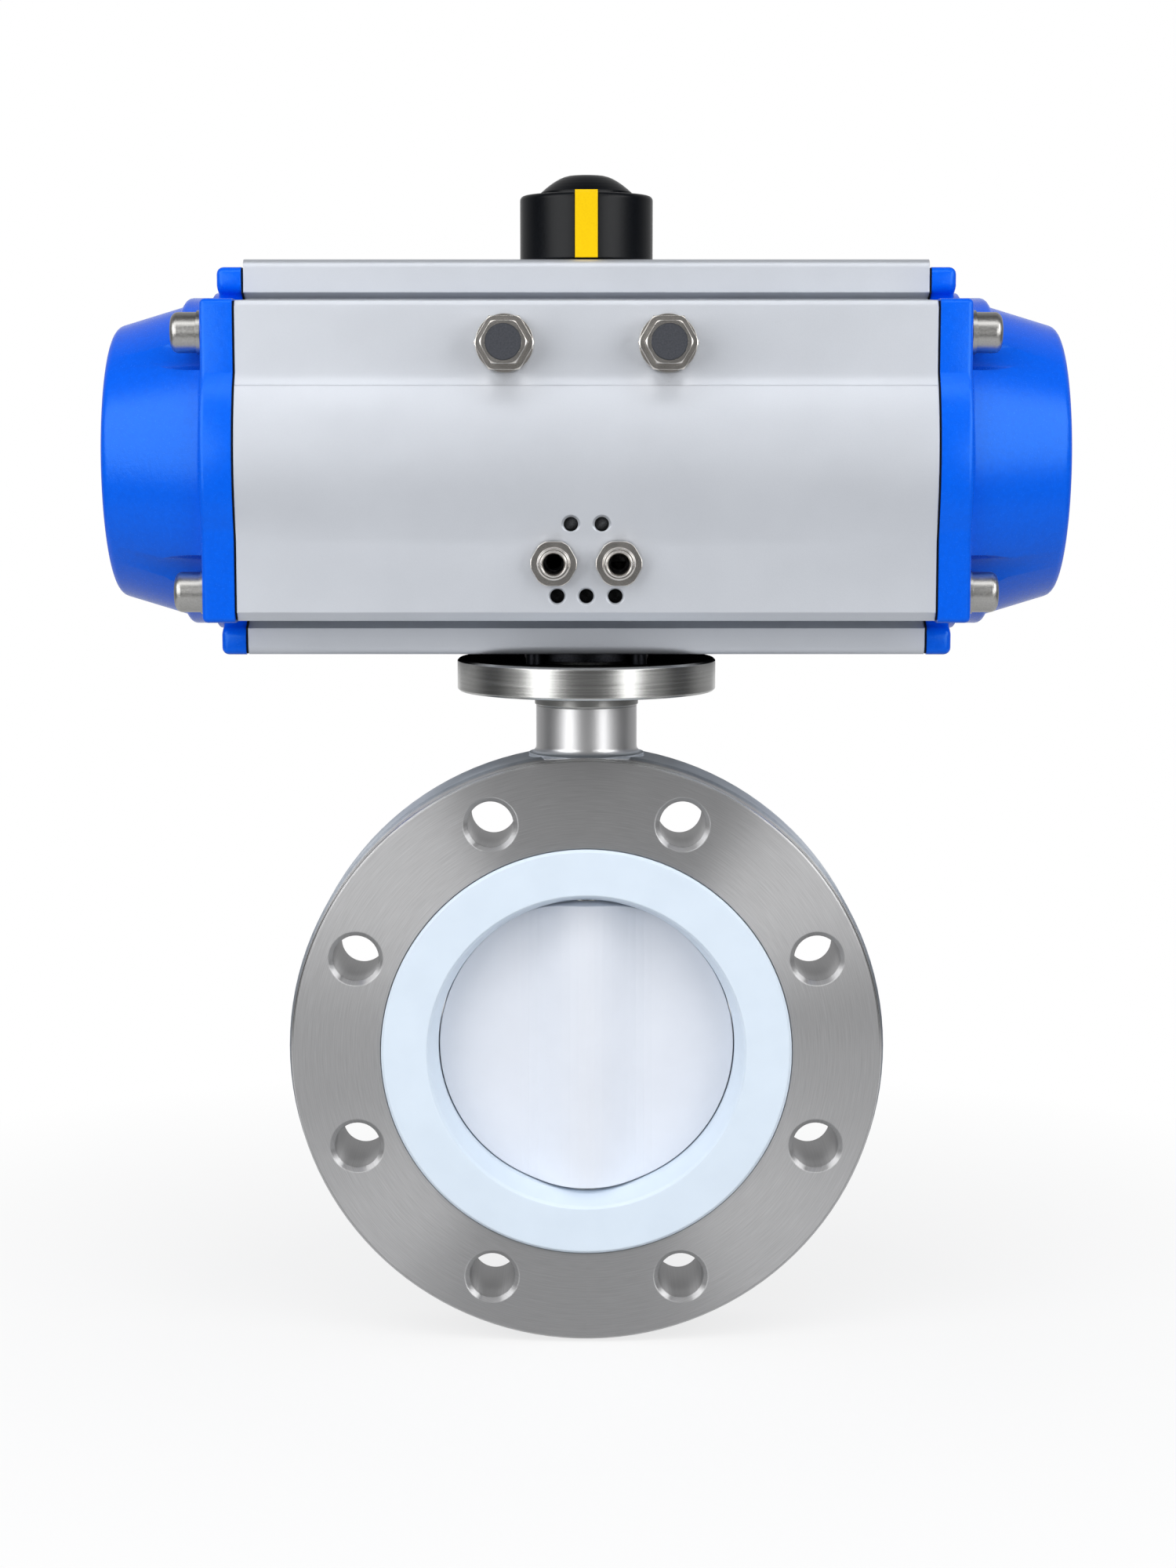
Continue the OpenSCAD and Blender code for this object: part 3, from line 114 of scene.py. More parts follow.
def grain(tree, size, detail=2.0, stretch=(1, 1, 1)):
    """Noise whose blobs are about size metres wide."""
    where = add(tree, "ShaderNodeTexCoord")
    turn = add(tree, "ShaderNodeMapping", {"Vector": where.outputs["Object"], "Scale": stretch})
    return add(
        tree,
        "ShaderNodeTexNoise",
        {"Vector": turn.outputs[0], "Scale": 1 / size, "Detail": detail, "Roughness": 0.55},
    ).outputs["Fac"]


def spread(tree, value, low, high, start=0.3, end=0.7):
    """Maps a pattern from start..end onto low..high."""
    return add(
        tree,
        "ShaderNodeMapRange",
        {"Value": value, "From Min": start, "From Max": end, "To Min": low, "To Max": high},
    ).outputs["Result"]


def bump(tree, height, distance, strength, edge):
    """Bump over rounded edges of radius edge."""
    soft = add(tree, "ShaderNodeBevel", {"Radius": edge}, samples=4)
    return add(
        tree,
        "ShaderNodeBump",
        {"Height": height, "Distance": distance, "Strength": strength, "Normal": soft.outputs[0]},
    ).outputs["Normal"]


def math_node(tree, operation, first, second, use_clamp=False):
    """A calculation with two patterns or numbers, named as Blender names it."""
    return add(
        tree, "ShaderNodeMath", {0: first, 1: second}, operation=operation, use_clamp=use_clamp
    ).outputs[0]


def mixed(tree, share, first, second, kind="FLOAT"):
    """Mixes two numbers, two colours (RGBA) or two directions (VECTOR) by a 0..1 pattern."""
    a, b, out = {"FLOAT": (2, 3, 0), "VECTOR": (4, 5, 1), "RGBA": (6, 7, 2)}[kind]
    mix = add(tree, "ShaderNodeMix", {0: share, a: first, b: second}, data_type=kind)
    return mix.outputs[out]


def tint(tree, value, dark, light):
    """Mixes two sRGB colours by a 0..1 pattern."""
    return mixed(tree, value, linear(dark), linear(light), "RGBA")


def closed_in(tree, near):
    """0 where the surface is closed in by things nearer than this, 1 where it lies open."""
    return add(tree, "ShaderNodeAmbientOcclusion", {"Distance": near}, samples=8).outputs["AO"]


def looked_at(tree):
    """1 where the camera looks, also through a clear thing."""
    path = add(tree, "ShaderNodeLightPath").outputs
    return math_node(tree, "MAXIMUM", path["Is Camera Ray"], path["Is Transmission Ray"])


def coated_blue(sizes):
    # Thick epoxy powder coat on cast aluminium: saturated, softly glossy, with the fine
    # orange peel that stoving leaves, 1.5 to 3 mm from lump to lump
    made, tree, shader = new_material("Epoxy powder coat, blue")
    lumps = grain(tree, 2.2 * MM)
    fine = grain(tree, 0.7 * MM)
    both = math_node(tree, "ADD", lumps, fine)
    blue = tint(tree, spread(tree, lumps, 0, 1), "005be6", "0060ee")
    tree.links.new(blue, shader.inputs["Base Color"])
    tree.links.new(spread(tree, fine, 0.22, 0.28), shader.inputs["Roughness"])
    # The coat's clear top layer is tinted by the pigment under it
    shader.inputs["Specular Tint"].default_value = (0.3, 0.8, 1.0, 1.0)
    tree.links.new(bump(tree, both, 0.05 * MM, 1.0, sizes.edge_radius), shader.inputs["Normal"])
    return made


def blasted_aluminium(sizes):
    # Extruded aluminium, glass-bead blasted and anodised: an even pale grey with a
    # satin sheen. The beads' dents are 0.1 mm wide and are drawn 0.5 mm wide to show
    made, tree, shader = new_material("Bead-blasted anodised aluminium")
    dents = grain(tree, 0.55 * MM, 3.0)
    clouds = grain(tree, 35 * MM)
    skin = tint(tree, spread(tree, clouds, 0, 1), "d7dbe2", "dbdfe6")
    # Painted shade: what is closed in, such as the inside of the tapped holes, is painted black;
    # the grooves beyond 68 mm from the axis get only a little of this painted shade
    open_sky = closed_in(tree, 10 * MM)
    where = add(tree, "ShaderNodeTexCoord").outputs["Object"]
    height = add(tree, "ShaderNodeSeparateXYZ", {0: where}).outputs["Z"]
    off_axis = math_node(tree, "ABSOLUTE", math_node(tree, "SUBTRACT", height, AXIS_Z), 0.0)
    groove = spread(tree, off_axis, 0, 0.85, 66 * MM, 70 * MM)
    unshaded_share = math_node(tree, "MAXIMUM", spread(tree, open_sky, 0, 1, 0.35, 0.55), groove)
    # Where the share is 0 the skin takes the near-black 0a0a0b, the painted shade
    tree.links.new(mixed(tree, unshaded_share, linear("0a0a0b"), skin, "RGBA"), shader.inputs["Base Color"])
    tree.links.new(spread(tree, dents, 0.46, 0.56), shader.inputs["Roughness"])
    tree.links.new(bump(tree, dents, 0.04 * MM, 0.8, sizes.edge_radius), shader.inputs["Normal"])
    shader.inputs["Metallic"].default_value = 0.75
    return made


def polished_steel(
    sizes, name="Ground and polished stainless steel", rough=(0.22, 0.27), covered=0.0
):
    # Turned stainless steel, ground along the turning: bright, with faint rings. Covered
    # is how close another part has to lie for the face under it to get painted shade
    made, tree, shader = new_material(name)
    rings = grain(tree, 1.2 * MM, 2.0, (0.02, 0.02, 1.0))
    skin = tint(tree, spread(tree, rings, 0, 1), "bdbdbb", "cfcfcd")
    if covered:
        # Painted shade: the closed-in face that looks up under the other part is painted black,
        # standing in for the dark gap it mirrors
        open_sky = closed_in(tree, covered)
        normal = add(tree, "ShaderNodeNewGeometry").outputs["Normal"]
        up = add(tree, "ShaderNodeSeparateXYZ", {0: normal}).outputs["Z"]
        upright = spread(tree, up, 1, 0.06, 0.7, 0.95)
        unshaded_share = math_node(tree, "MULTIPLY", spread(tree, open_sky, 0, 1, 0.45, 0.8), upright)
        # 0c0c0c is the colour of the painted shade
        skin = mixed(tree, unshaded_share, linear("0c0c0c"), skin, "RGBA")
    tree.links.new(skin, shader.inputs["Base Color"])
    matt = spread(tree, rings, *rough)
    shader.inputs["Metallic"].default_value = 1.0
    # The painted shade is also made matt and not metallic
    if covered:
        tree.links.new(unshaded_share, shader.inputs["Metallic"])
        tree.links.new(spread(tree, unshaded_share, 0, 0.5, 0, 1), shader.inputs["Specular IOR Level"])
        matt = mixed(tree, unshaded_share, 0.6, matt)
    tree.links.new(matt, shader.inputs["Roughness"])
    ridges = bump(tree, rings, 0.006 * MM, 0.4, sizes.edge_radius / 2)
    tree.links.new(ridges, shader.inputs["Normal"])
    # Grinding marks run round the stem, so gloss stretches along it
    shader.inputs["Anisotropic"].default_value = 0.4
    along = add(tree, "ShaderNodeCombineXYZ", {"X": 0.0, "Y": 0.0, "Z": 1.0})
    tree.links.new(along.outputs[0], shader.inputs["Tangent"])
    return made


def satin_steel(
    sizes,
    name="Satin stainless steel",
    colour=("b4b3b0", "c4c3c0"),
    rough=(0.28, 0.38),
    dent=0.015 * MM,
    apart=0.8 * MM,
):
    # Cold-headed and tumbled steel: soft shine, and tiny dents that lie apart
    made, tree, shader = new_material(name)
    marks = grain(tree, apart, 3.0)
    tree.links.new(tint(tree, spread(tree, marks, 0, 1), *colour), shader.inputs["Base Color"])
    tree.links.new(spread(tree, marks, *rough), shader.inputs["Roughness"])
    dents = bump(tree, marks, dent, 0.5, sizes.edge_radius / 3)
    tree.links.new(dents, shader.inputs["Normal"])
    shader.inputs["Metallic"].default_value = 1.0
    return made


def flange_steel(sizes):
    # Stainless casting. Its faces and rim strips are turned, which leaves fine rings that
    # throw light in wedges; the band between the strips and the root of the neck is
    # left as cast and pickled, matt blue-grey; the neck is turned round the stem
    made, tree, shader = new_material("Turned and pickled stainless casting")
    where = add(tree, "ShaderNodeTexCoord").outputs["Object"]
    parts = add(tree, "ShaderNodeSeparateXYZ", {0: where}).outputs
    radial = add(tree, "ShaderNodeCombineXYZ", {"X": parts["X"], "Z": parts["Z"]}).outputs[0]
    radius = add(tree, "ShaderNodeVectorMath", {0: radial}, operation="LENGTH").outputs["Value"]
    depth = math_node(tree, "ABSOLUTE", parts["Y"], 0.0)
    # The faces are at face_y, the turned strips have the radius strip_r, and the band stands
    # out past it. Each pattern is 1 on the faces, on the cast band or on the neck
    face_y, strip_r = 28 * MM, 142.5 * MM
    face = spread(tree, depth, 0, 1, face_y - 0.3 * MM, face_y - 0.1 * MM)
    outside = spread(tree, radius, 0, 1, strip_r + 0.1 * MM, strip_r + 0.5 * MM)
    neck = spread(tree, parts["Z"], 0, 1, strip_r + MM, strip_r + 3 * MM)
    skin = math_node(tree, "SUBTRACT", outside, neck, use_clamp=True)
    rings = add(
        tree,
        "ShaderNodeTexNoise",
        {"W": radius, "Scale": 1 / (0.7 * MM), "Detail": 3.0, "Roughness": 0.6},
        noise_dimensions="1D",
    ).outputs["Fac"]
    # Short scratches that follow the rings, finer than a render shows
    turn = math_node(tree, "ARCTAN2", parts["X"], parts["Z"])
    swept = add(tree, "ShaderNodeCombineXYZ", {"X": radius, "Y": turn}).outputs[0]
    fine = (1 / (0.4 * MM), 9.0, 1.0)
    sized = add(tree, "ShaderNodeVectorMath", {0: swept, 1: fine}, operation="MULTIPLY")
    scratches = add(
        tree, "ShaderNodeTexNoise", {"Vector": sized.outputs[0], "Scale": 1.0, "Detail": 3.0}
    ).outputs["Fac"]
    pits = grain(tree, 1.6 * MM, 3.0)
    patches = grain(tree, 25 * MM, 2.0)
    lathe = mixed(tree, 0.65, rings, scratches)
    # The outer edge is broken with a fine file, so it is less rough, and it is painted brighter as
    # a highlight line;
    # the neck is polished, so it is brighter
    edge = math_node(
        tree,
        "MULTIPLY",
        spread(tree, radius, 0, 1, strip_r - 0.9 * MM, strip_r - 0.6 * MM),
        spread(tree, depth, 0, 1, face_y - 1.0 * MM, face_y - 0.8 * MM),
    )
    edge = math_node(tree, "SUBTRACT", edge, neck, use_clamp=True)
    bright = math_node(tree, "MAXIMUM", edge, neck)
    turned_colour = tint(tree, spread(tree, lathe, 0, 1), "b8b8b9", "cacacb")
    turned_colour = mixed(tree, bright, turned_colour, linear("dededf"), "RGBA")
    cast_colour = tint(tree, spread(tree, patches, 0, 1), "9ea4ad", "b2b8c0")
    colour = mixed(tree, skin, turned_colour, cast_colour, "RGBA")
    tree.links.new(colour, shader.inputs["Base Color"])
    turned_rough = math_node(
        tree, "SUBTRACT", spread(tree, lathe, 0.33, 0.39), spread(tree, edge, 0, 0.1, 0, 1)
    )
    cast_rough = spread(tree, pits, 0.48, 0.6)
    tree.links.new(mixed(tree, skin, turned_rough, cast_rough), shader.inputs["Roughness"])
    # Turning marks are 0.003 mm high and the casting's pits 0.05 mm deep
    relief = mixed(tree, skin, lathe, pits)
    tall = math_node(tree, "MULTIPLY", relief, mixed(tree, skin, 0.003, 0.05))
    tree.links.new(bump(tree, tall, MM, 1.0, sizes.edge_radius), shader.inputs["Normal"])
    shader.inputs["Metallic"].default_value = 1.0
    # Gloss stretches across the turning marks: outward on the faces, along the pipe on
    # the rim and up the neck
    rim_way = mixed(tree, neck, (0, 1, 0), (0, 0, 1), "VECTOR")
    way = mixed(tree, face, rim_way, radial, "VECTOR")
    unit = add(tree, "ShaderNodeVectorMath", {0: way}, operation="NORMALIZE").outputs[0]
    stretch = math_node(
        tree, "MULTIPLY", spread(tree, neck, 0.95, 0.2, 0, 1), spread(tree, edge, 1, 0, 0, 1)
    )
    tree.links.new(stretch, shader.inputs["Anisotropic"])
    tree.links.new(unit, shader.inputs["Tangent"])
    return made


def fluoroplastic(sizes, name="Moulded PTFE", colours=("d9e5f1", "dde9f5")):
    # Isostatically moulded PTFE: white, waxy, faintly cloudy
    made, tree, shader = new_material(name)
    clouds = grain(tree, 22 * MM, 2.0)
    fine = grain(tree, 1.0 * MM)
    tree.links.new(tint(tree, spread(tree, clouds, 0, 1), *colours), shader.inputs["Base Color"])
    tree.links.new(spread(tree, fine, 0.34, 0.44), shader.inputs["Roughness"])
    tree.links.new(bump(tree, fine, 0.02 * MM, 0.6, sizes.edge_radius), shader.inputs["Normal"])
    shader.inputs["Subsurface Weight"].default_value = 0.15
    shader.inputs["Subsurface Radius"].default_value = (1.0, 1.0, 1.0)
    shader.inputs["Subsurface Scale"].default_value = 2 * MM
    shader.inputs["IOR"].default_value = 1.38
    return made


def moulded_plastic(sizes, name, colours, rough=(0.28, 0.36), grain_size=0.8 * MM):
    # Moulded plastic or rubber: smooth, with the faint grain of a spark-eroded mould
    made, tree, shader = new_material(name)
    skin = grain(tree, grain_size)
    tree.links.new(tint(tree, spread(tree, skin, 0, 1), *colours), shader.inputs["Base Color"])
    tree.links.new(spread(tree, skin, *rough), shader.inputs["Roughness"])
    tree.links.new(bump(tree, skin, 0.02 * MM, 0.7, sizes.edge_radius), shader.inputs["Normal"])
    shader.inputs["Specular IOR Level"].default_value = 0.22
    return made


def dress(names, made):
    """Gives CAD nodes a material."""
    for name in names:
        o = NODES[name]
        o.data.materials.clear()
        o.data.materials.append(made)


def only(*pieces):
    """Selects these pieces alone; the first is active."""
    bpy.ops.object.select_all(action="DESELECT")
    for o in pieces:
        o.select_set(True)
    bpy.context.view_layer.objects.active = pieces[0]


def draw(name, points, closed=True):
    """Draws a line from point to point by extruding a vertex, and fills it if closed."""
    bpy.ops.object.select_all(action="DESELECT")
    bpy.ops.mesh.primitive_plane_add(size=MM, location=(0, 0, 0))
    o = bpy.context.object
    o.name = name
    bpy.ops.object.mode_set(mode="EDIT")
    bpy.ops.mesh.merge(type="CENTER")
    bpy.ops.transform.translate(value=points[0])
    for a, b in zip(points, points[1:]):
        step = Vector(b) - Vector(a)
        bpy.ops.mesh.extrude_vertices_move(TRANSFORM_OT_translate={"value": tuple(step)})
    bpy.ops.mesh.select_all(action="SELECT")
    if closed:
        bpy.ops.mesh.edge_face_add()
    bpy.ops.object.mode_set(mode="OBJECT")
    return o


def thicken(o, reach):
    """Extrudes a drawn face along X and closes the block."""
    only(o)
    bpy.ops.object.mode_set(mode="EDIT")
    bpy.ops.mesh.select_all(action="SELECT")
    bpy.ops.mesh.extrude_region_move(TRANSFORM_OT_translate={"value": (reach, 0, 0)})
    bpy.ops.mesh.select_all(action="SELECT")
    bpy.ops.mesh.normals_make_consistent(inside=False)
    bpy.ops.object.mode_set(mode="OBJECT")


def spin(o, steps, centre, axis):
    """Turns a drawn line round an axis into a closed skin."""
    only(o)
    bpy.ops.object.mode_set(mode="EDIT")
    bpy.ops.mesh.select_all(action="SELECT")
    bpy.ops.mesh.spin(steps=steps, angle=2 * math.pi, center=centre, axis=axis)
    bpy.ops.mesh.select_all(action="SELECT")
    bpy.ops.mesh.remove_doubles(threshold=0.01 * MM)
    bpy.ops.mesh.normals_make_consistent(inside=False)
    bpy.ops.object.mode_set(mode="OBJECT")
    return o


def finish_with(o, kind, **settings):
    """Adds a modifier and applies it."""
    only(o)
    made = o.modifiers.new(kind.title(), kind)
    for name, value in settings.items():
        setattr(made, name, value)
    bpy.ops.object.modifier_apply(modifier=made.name)


def combine(o, other, how):
    """Adds or cuts another piece, which is used up."""
    finish_with(o, "BOOLEAN", operation=how, solver="EXACT", object=other)
    bpy.data.objects.remove(other)


def rod(radius, length, place, sides=48):
    """A cutter: a cylinder that starts at place and runs along X."""
    bpy.ops.object.select_all(action="DESELECT")
    bpy.ops.mesh.primitive_cylinder_add(
        vertices=sides,
        radius=radius,
        depth=length,
        location=Vector(place) + Vector((length / 2, 0, 0)),
        rotation=(0, math.pi / 2, 0),
    )
    return bpy.context.object


def settle(o, name, made, body, slot, *nodes, smooth=30):
    """Finishes a piece: place into its mesh, shading, material, its parent body, and hides the CAD
    nodes it stands for.
    """
    only(o)
    bpy.ops.object.transform_apply(location=True, rotation=True, scale=True)
    bpy.ops.object.shade_smooth_by_angle(angle=math.radians(smooth))
    o.name = name
    o.data.name = name
    o.data.materials.clear()
    o.data.materials.append(made)
    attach(o, body)
    if nodes:
        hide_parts(*nodes)


def rounded(name, new_name, radius, made, body, slot):
    """Puts a copy of a CAD node in its place, with its sharp edges rounded."""
    o = bpy.data.objects.new(new_name, NODES[name].data.copy())
    bpy.context.scene.collection.objects.link(o)
    only(o)
    bpy.ops.object.mode_set(mode="EDIT")
    bpy.ops.mesh.select_all(action="SELECT")
    bpy.ops.mesh.remove_doubles(threshold=SAME_POINT)
    # Triangles that lie in one plane become one face, so that only real edges are rounded
    bpy.ops.mesh.dissolve_limited(angle_limit=math.radians(0.5))
    bpy.ops.object.mode_set(mode="OBJECT")
    bpy.ops.mesh.customdata_custom_splitnormals_clear()
    sharp = 35
    finish_with(
        o, "BEVEL", width=radius, segments=3, limit_method="ANGLE", angle_limit=math.radians(sharp)
    )
    settle(o, new_name, made, body, slot, name, smooth=sharp)
    finish_with(o, "WEIGHTED_NORMAL", keep_sharp=True)


class ValveSizes(bpy.types.PropertyGroup):
    edge_radius: bpy.props.FloatProperty(
        name="Edge radius",
        description="Radius that the shading gives to machined edges",
        default=0.8 * MM,
        unit="LENGTH",
        min=0.0,
    )
    cap_screw_y: bpy.props.FloatProperty(
        name="Cap screws, sideways",
        description="Sideways place of the cap screws",
        default=64 * MM,
        unit="LENGTH",
    )
    cap_screw_z: bpy.props.FloatProperty(
        name="Cap screws, height",
        description="Height of the cap screws from the cylinder's axis",
        default=59 * MM,
        unit="LENGTH",
    )
    rib_half: bpy.props.FloatProperty(
        name="Rib half width",
        description="Half width of the ribs over and under each cup",
        default=45 * MM,
        unit="LENGTH",
    )
    lens: bpy.props.FloatProperty(
        name="Lens",
        description="Focal length of the camera, in millimetres",
        default=66.6,
        unit="CAMERA",
    )
    camera_place: bpy.props.FloatVectorProperty(
        name="Camera place",
        description="Where the camera stands",
        default=(0.00075, -1.4, 0.299),
        subtype="TRANSLATION",
        unit="LENGTH",
    )
    camera_dip: bpy.props.FloatProperty(
        name="Camera dip",
        description="How far the camera looks down",
        default=math.radians(7.0),
        subtype="ANGLE",
        unit="ROTATION",
    )


class VALVE_OT_stage(bpy.types.Operator):
    """Sets up the camera, the floor, the world and the lamps"""

    bl_idname = "valve.stage"
    bl_label = "Stage"

    def execute(self, context):
        sizes = context.scene.valve_sizes
        bpy.ops.object.select_all(action="DESELECT")
        tilt = math.pi / 2 - sizes.camera_dip
        bpy.ops.object.camera_add(location=sizes.camera_place, rotation=(tilt, 0, 0))
        camera = context.object
        camera.name = "camera"
        camera.data.lens = sizes.lens
        camera.data.sensor_width = 36
        camera.data.clip_end = 50
        context.scene.camera = camera

        floor = self.floor()
        self.world(context)
        # Place and size in metres, power in watts
        self.softbox("softbox_left", (-1.45, -1.4, 0.8), (1.5, 2.2), 27)
        self.softbox("softbox_right", (1.5, -1.35, 0.8), (1.1, 2.2), 22)
        self.softbox("softbox_top", (0.0, -1.3, 1.9), (2.6, 0.7), 12)
        context.scene.view_settings.view_transform = "Standard"
        return {"FINISHED"}

    def floor(self):
        """A pale floor that keeps the shadow and fades into the white behind it."""
        reach = 1.1
        bpy.ops.mesh.primitive_circle_add(
            vertices=64, radius=reach, fill_type="NGON", location=(0, 0, FLOOR_Z)
        )
        floor = bpy.context.object
        floor.name = "studio_floor"
        bpy.ops.object.transform_apply(location=True)
        made = bpy.data.materials.new("White studio floor")
        made.use_nodes = True
        tree = made.node_tree
        tree.nodes.clear()
        # White to look at; it throws less light back up than a white floor would
        looked = add(tree, "ShaderNodeLightPath").outputs["Is Camera Ray"]
        matt = add(tree, "ShaderNodeBsdfDiffuse", {"Color": tint(tree, looked, "b0b0b0", "f2f2f2")})
        white = add(tree, "ShaderNodeEmission", {"Color": (1, 1, 1, 1), "Strength": 1.0})
        where = add(tree, "ShaderNodeTexCoord").outputs["Object"]
        away = add(tree, "ShaderNodeVectorMath", {0: where}, operation="LENGTH").outputs["Value"]
        share = spread(tree, away, 0.75, 1.0, 0.25, 0.6)
        level = math_node(tree, "MULTIPLY", self.seen(tree), share)
        mix = add(tree, "ShaderNodeMixShader", {0: level, 1: matt.outputs[0], 2: white.outputs[0]})
        out = add(tree, "ShaderNodeOutputMaterial")
        tree.links.new(mix.outputs[0], out.inputs["Surface"])
        floor.data.materials.append(made)
        return floor

    def seen(self, tree):
        """1 where the camera or a transmission looks, and less for a reflection, since the
        object's own shade lies on the floor that it mirrors."""
        glossy = add(tree, "ShaderNodeLightPath").outputs["Is Glossy Ray"]
        mirrored = math_node(tree, "MULTIPLY", glossy, 0.4)
        return math_node(tree, "MAXIMUM", looked_at(tree), mirrored)

    def world(self, context):
        """White behind the object. In reflections, dim grey walls in front and to the sides,
        so that polished metal shows the softboxes between dark bands."""
        world = bpy.data.worlds.new("Studio")
        context.scene.world = world
        world.use_nodes = True
        tree = world.node_tree
        tree.nodes.clear()
        way = add(tree, "ShaderNodeTexCoord").outputs["Generated"]
        parts = add(tree, "ShaderNodeSeparateXYZ", {0: way}).outputs
        walls = add(tree, "ShaderNodeValToRGB", {0: spread(tree, parts["Y"], 0, 1, -1, 1)})
        # From the camera's side (0) to the far side (1), and how bright it is there
        stops = walls.color_ramp.elements
        stops[0].color = (0.1, 0.1, 0.1, 1)
        stops[1].color = (1, 1, 1, 1)
        for place, grey in (
            (0.1, 0.2), (0.16, 0.13), (0.3, 0.24), (0.45, 0.07),
            (0.58, 0.07), (0.75, 0.32), (0.93, 0.45),
        ):
            stops.new(place).color = (grey, grey, grey, 1)
        level = spread(tree, parts["Z"], 0.18, 0.45, -0.5, 0.5)
        fill = add(tree, "ShaderNodeBackground", {"Color": (0.95, 0.97, 1.0, 1), "Strength": level})
        seen = add(tree, "ShaderNodeBackground", {"Color": (1, 1, 1, 1), "Strength": 1.0})
        shown = add(tree, "ShaderNodeBackground", {"Color": walls.outputs[0], "Strength": 1.0})
        mirrored = add(tree, "ShaderNodeLightPath").outputs["Is Glossy Ray"]
        glossy = add(
            tree, "ShaderNodeMixShader", {0: mirrored, 1: fill.outputs[0], 2: shown.outputs[0]}
        )
        mix = add(
            tree,
            "ShaderNodeMixShader",
            {0: looked_at(tree), 1: glossy.outputs[0], 2: seen.outputs[0]},
        )
        out = add(tree, "ShaderNodeOutputWorld")
        tree.links.new(mix.outputs[0], out.inputs["Surface"])

    def softbox(self, name, place, size, power):
        bpy.ops.object.light_add(type="AREA", location=place)
        lamp = bpy.context.object
        lamp.name = name
        middle = Vector((0, 0, 0.12))
        lamp.rotation_euler = (middle - Vector(place)).to_track_quat("-Z", "Z").to_euler()
        lamp.data.shape = "RECTANGLE"
        lamp.data.size, lamp.data.size_y = size
        lamp.data.energy = power


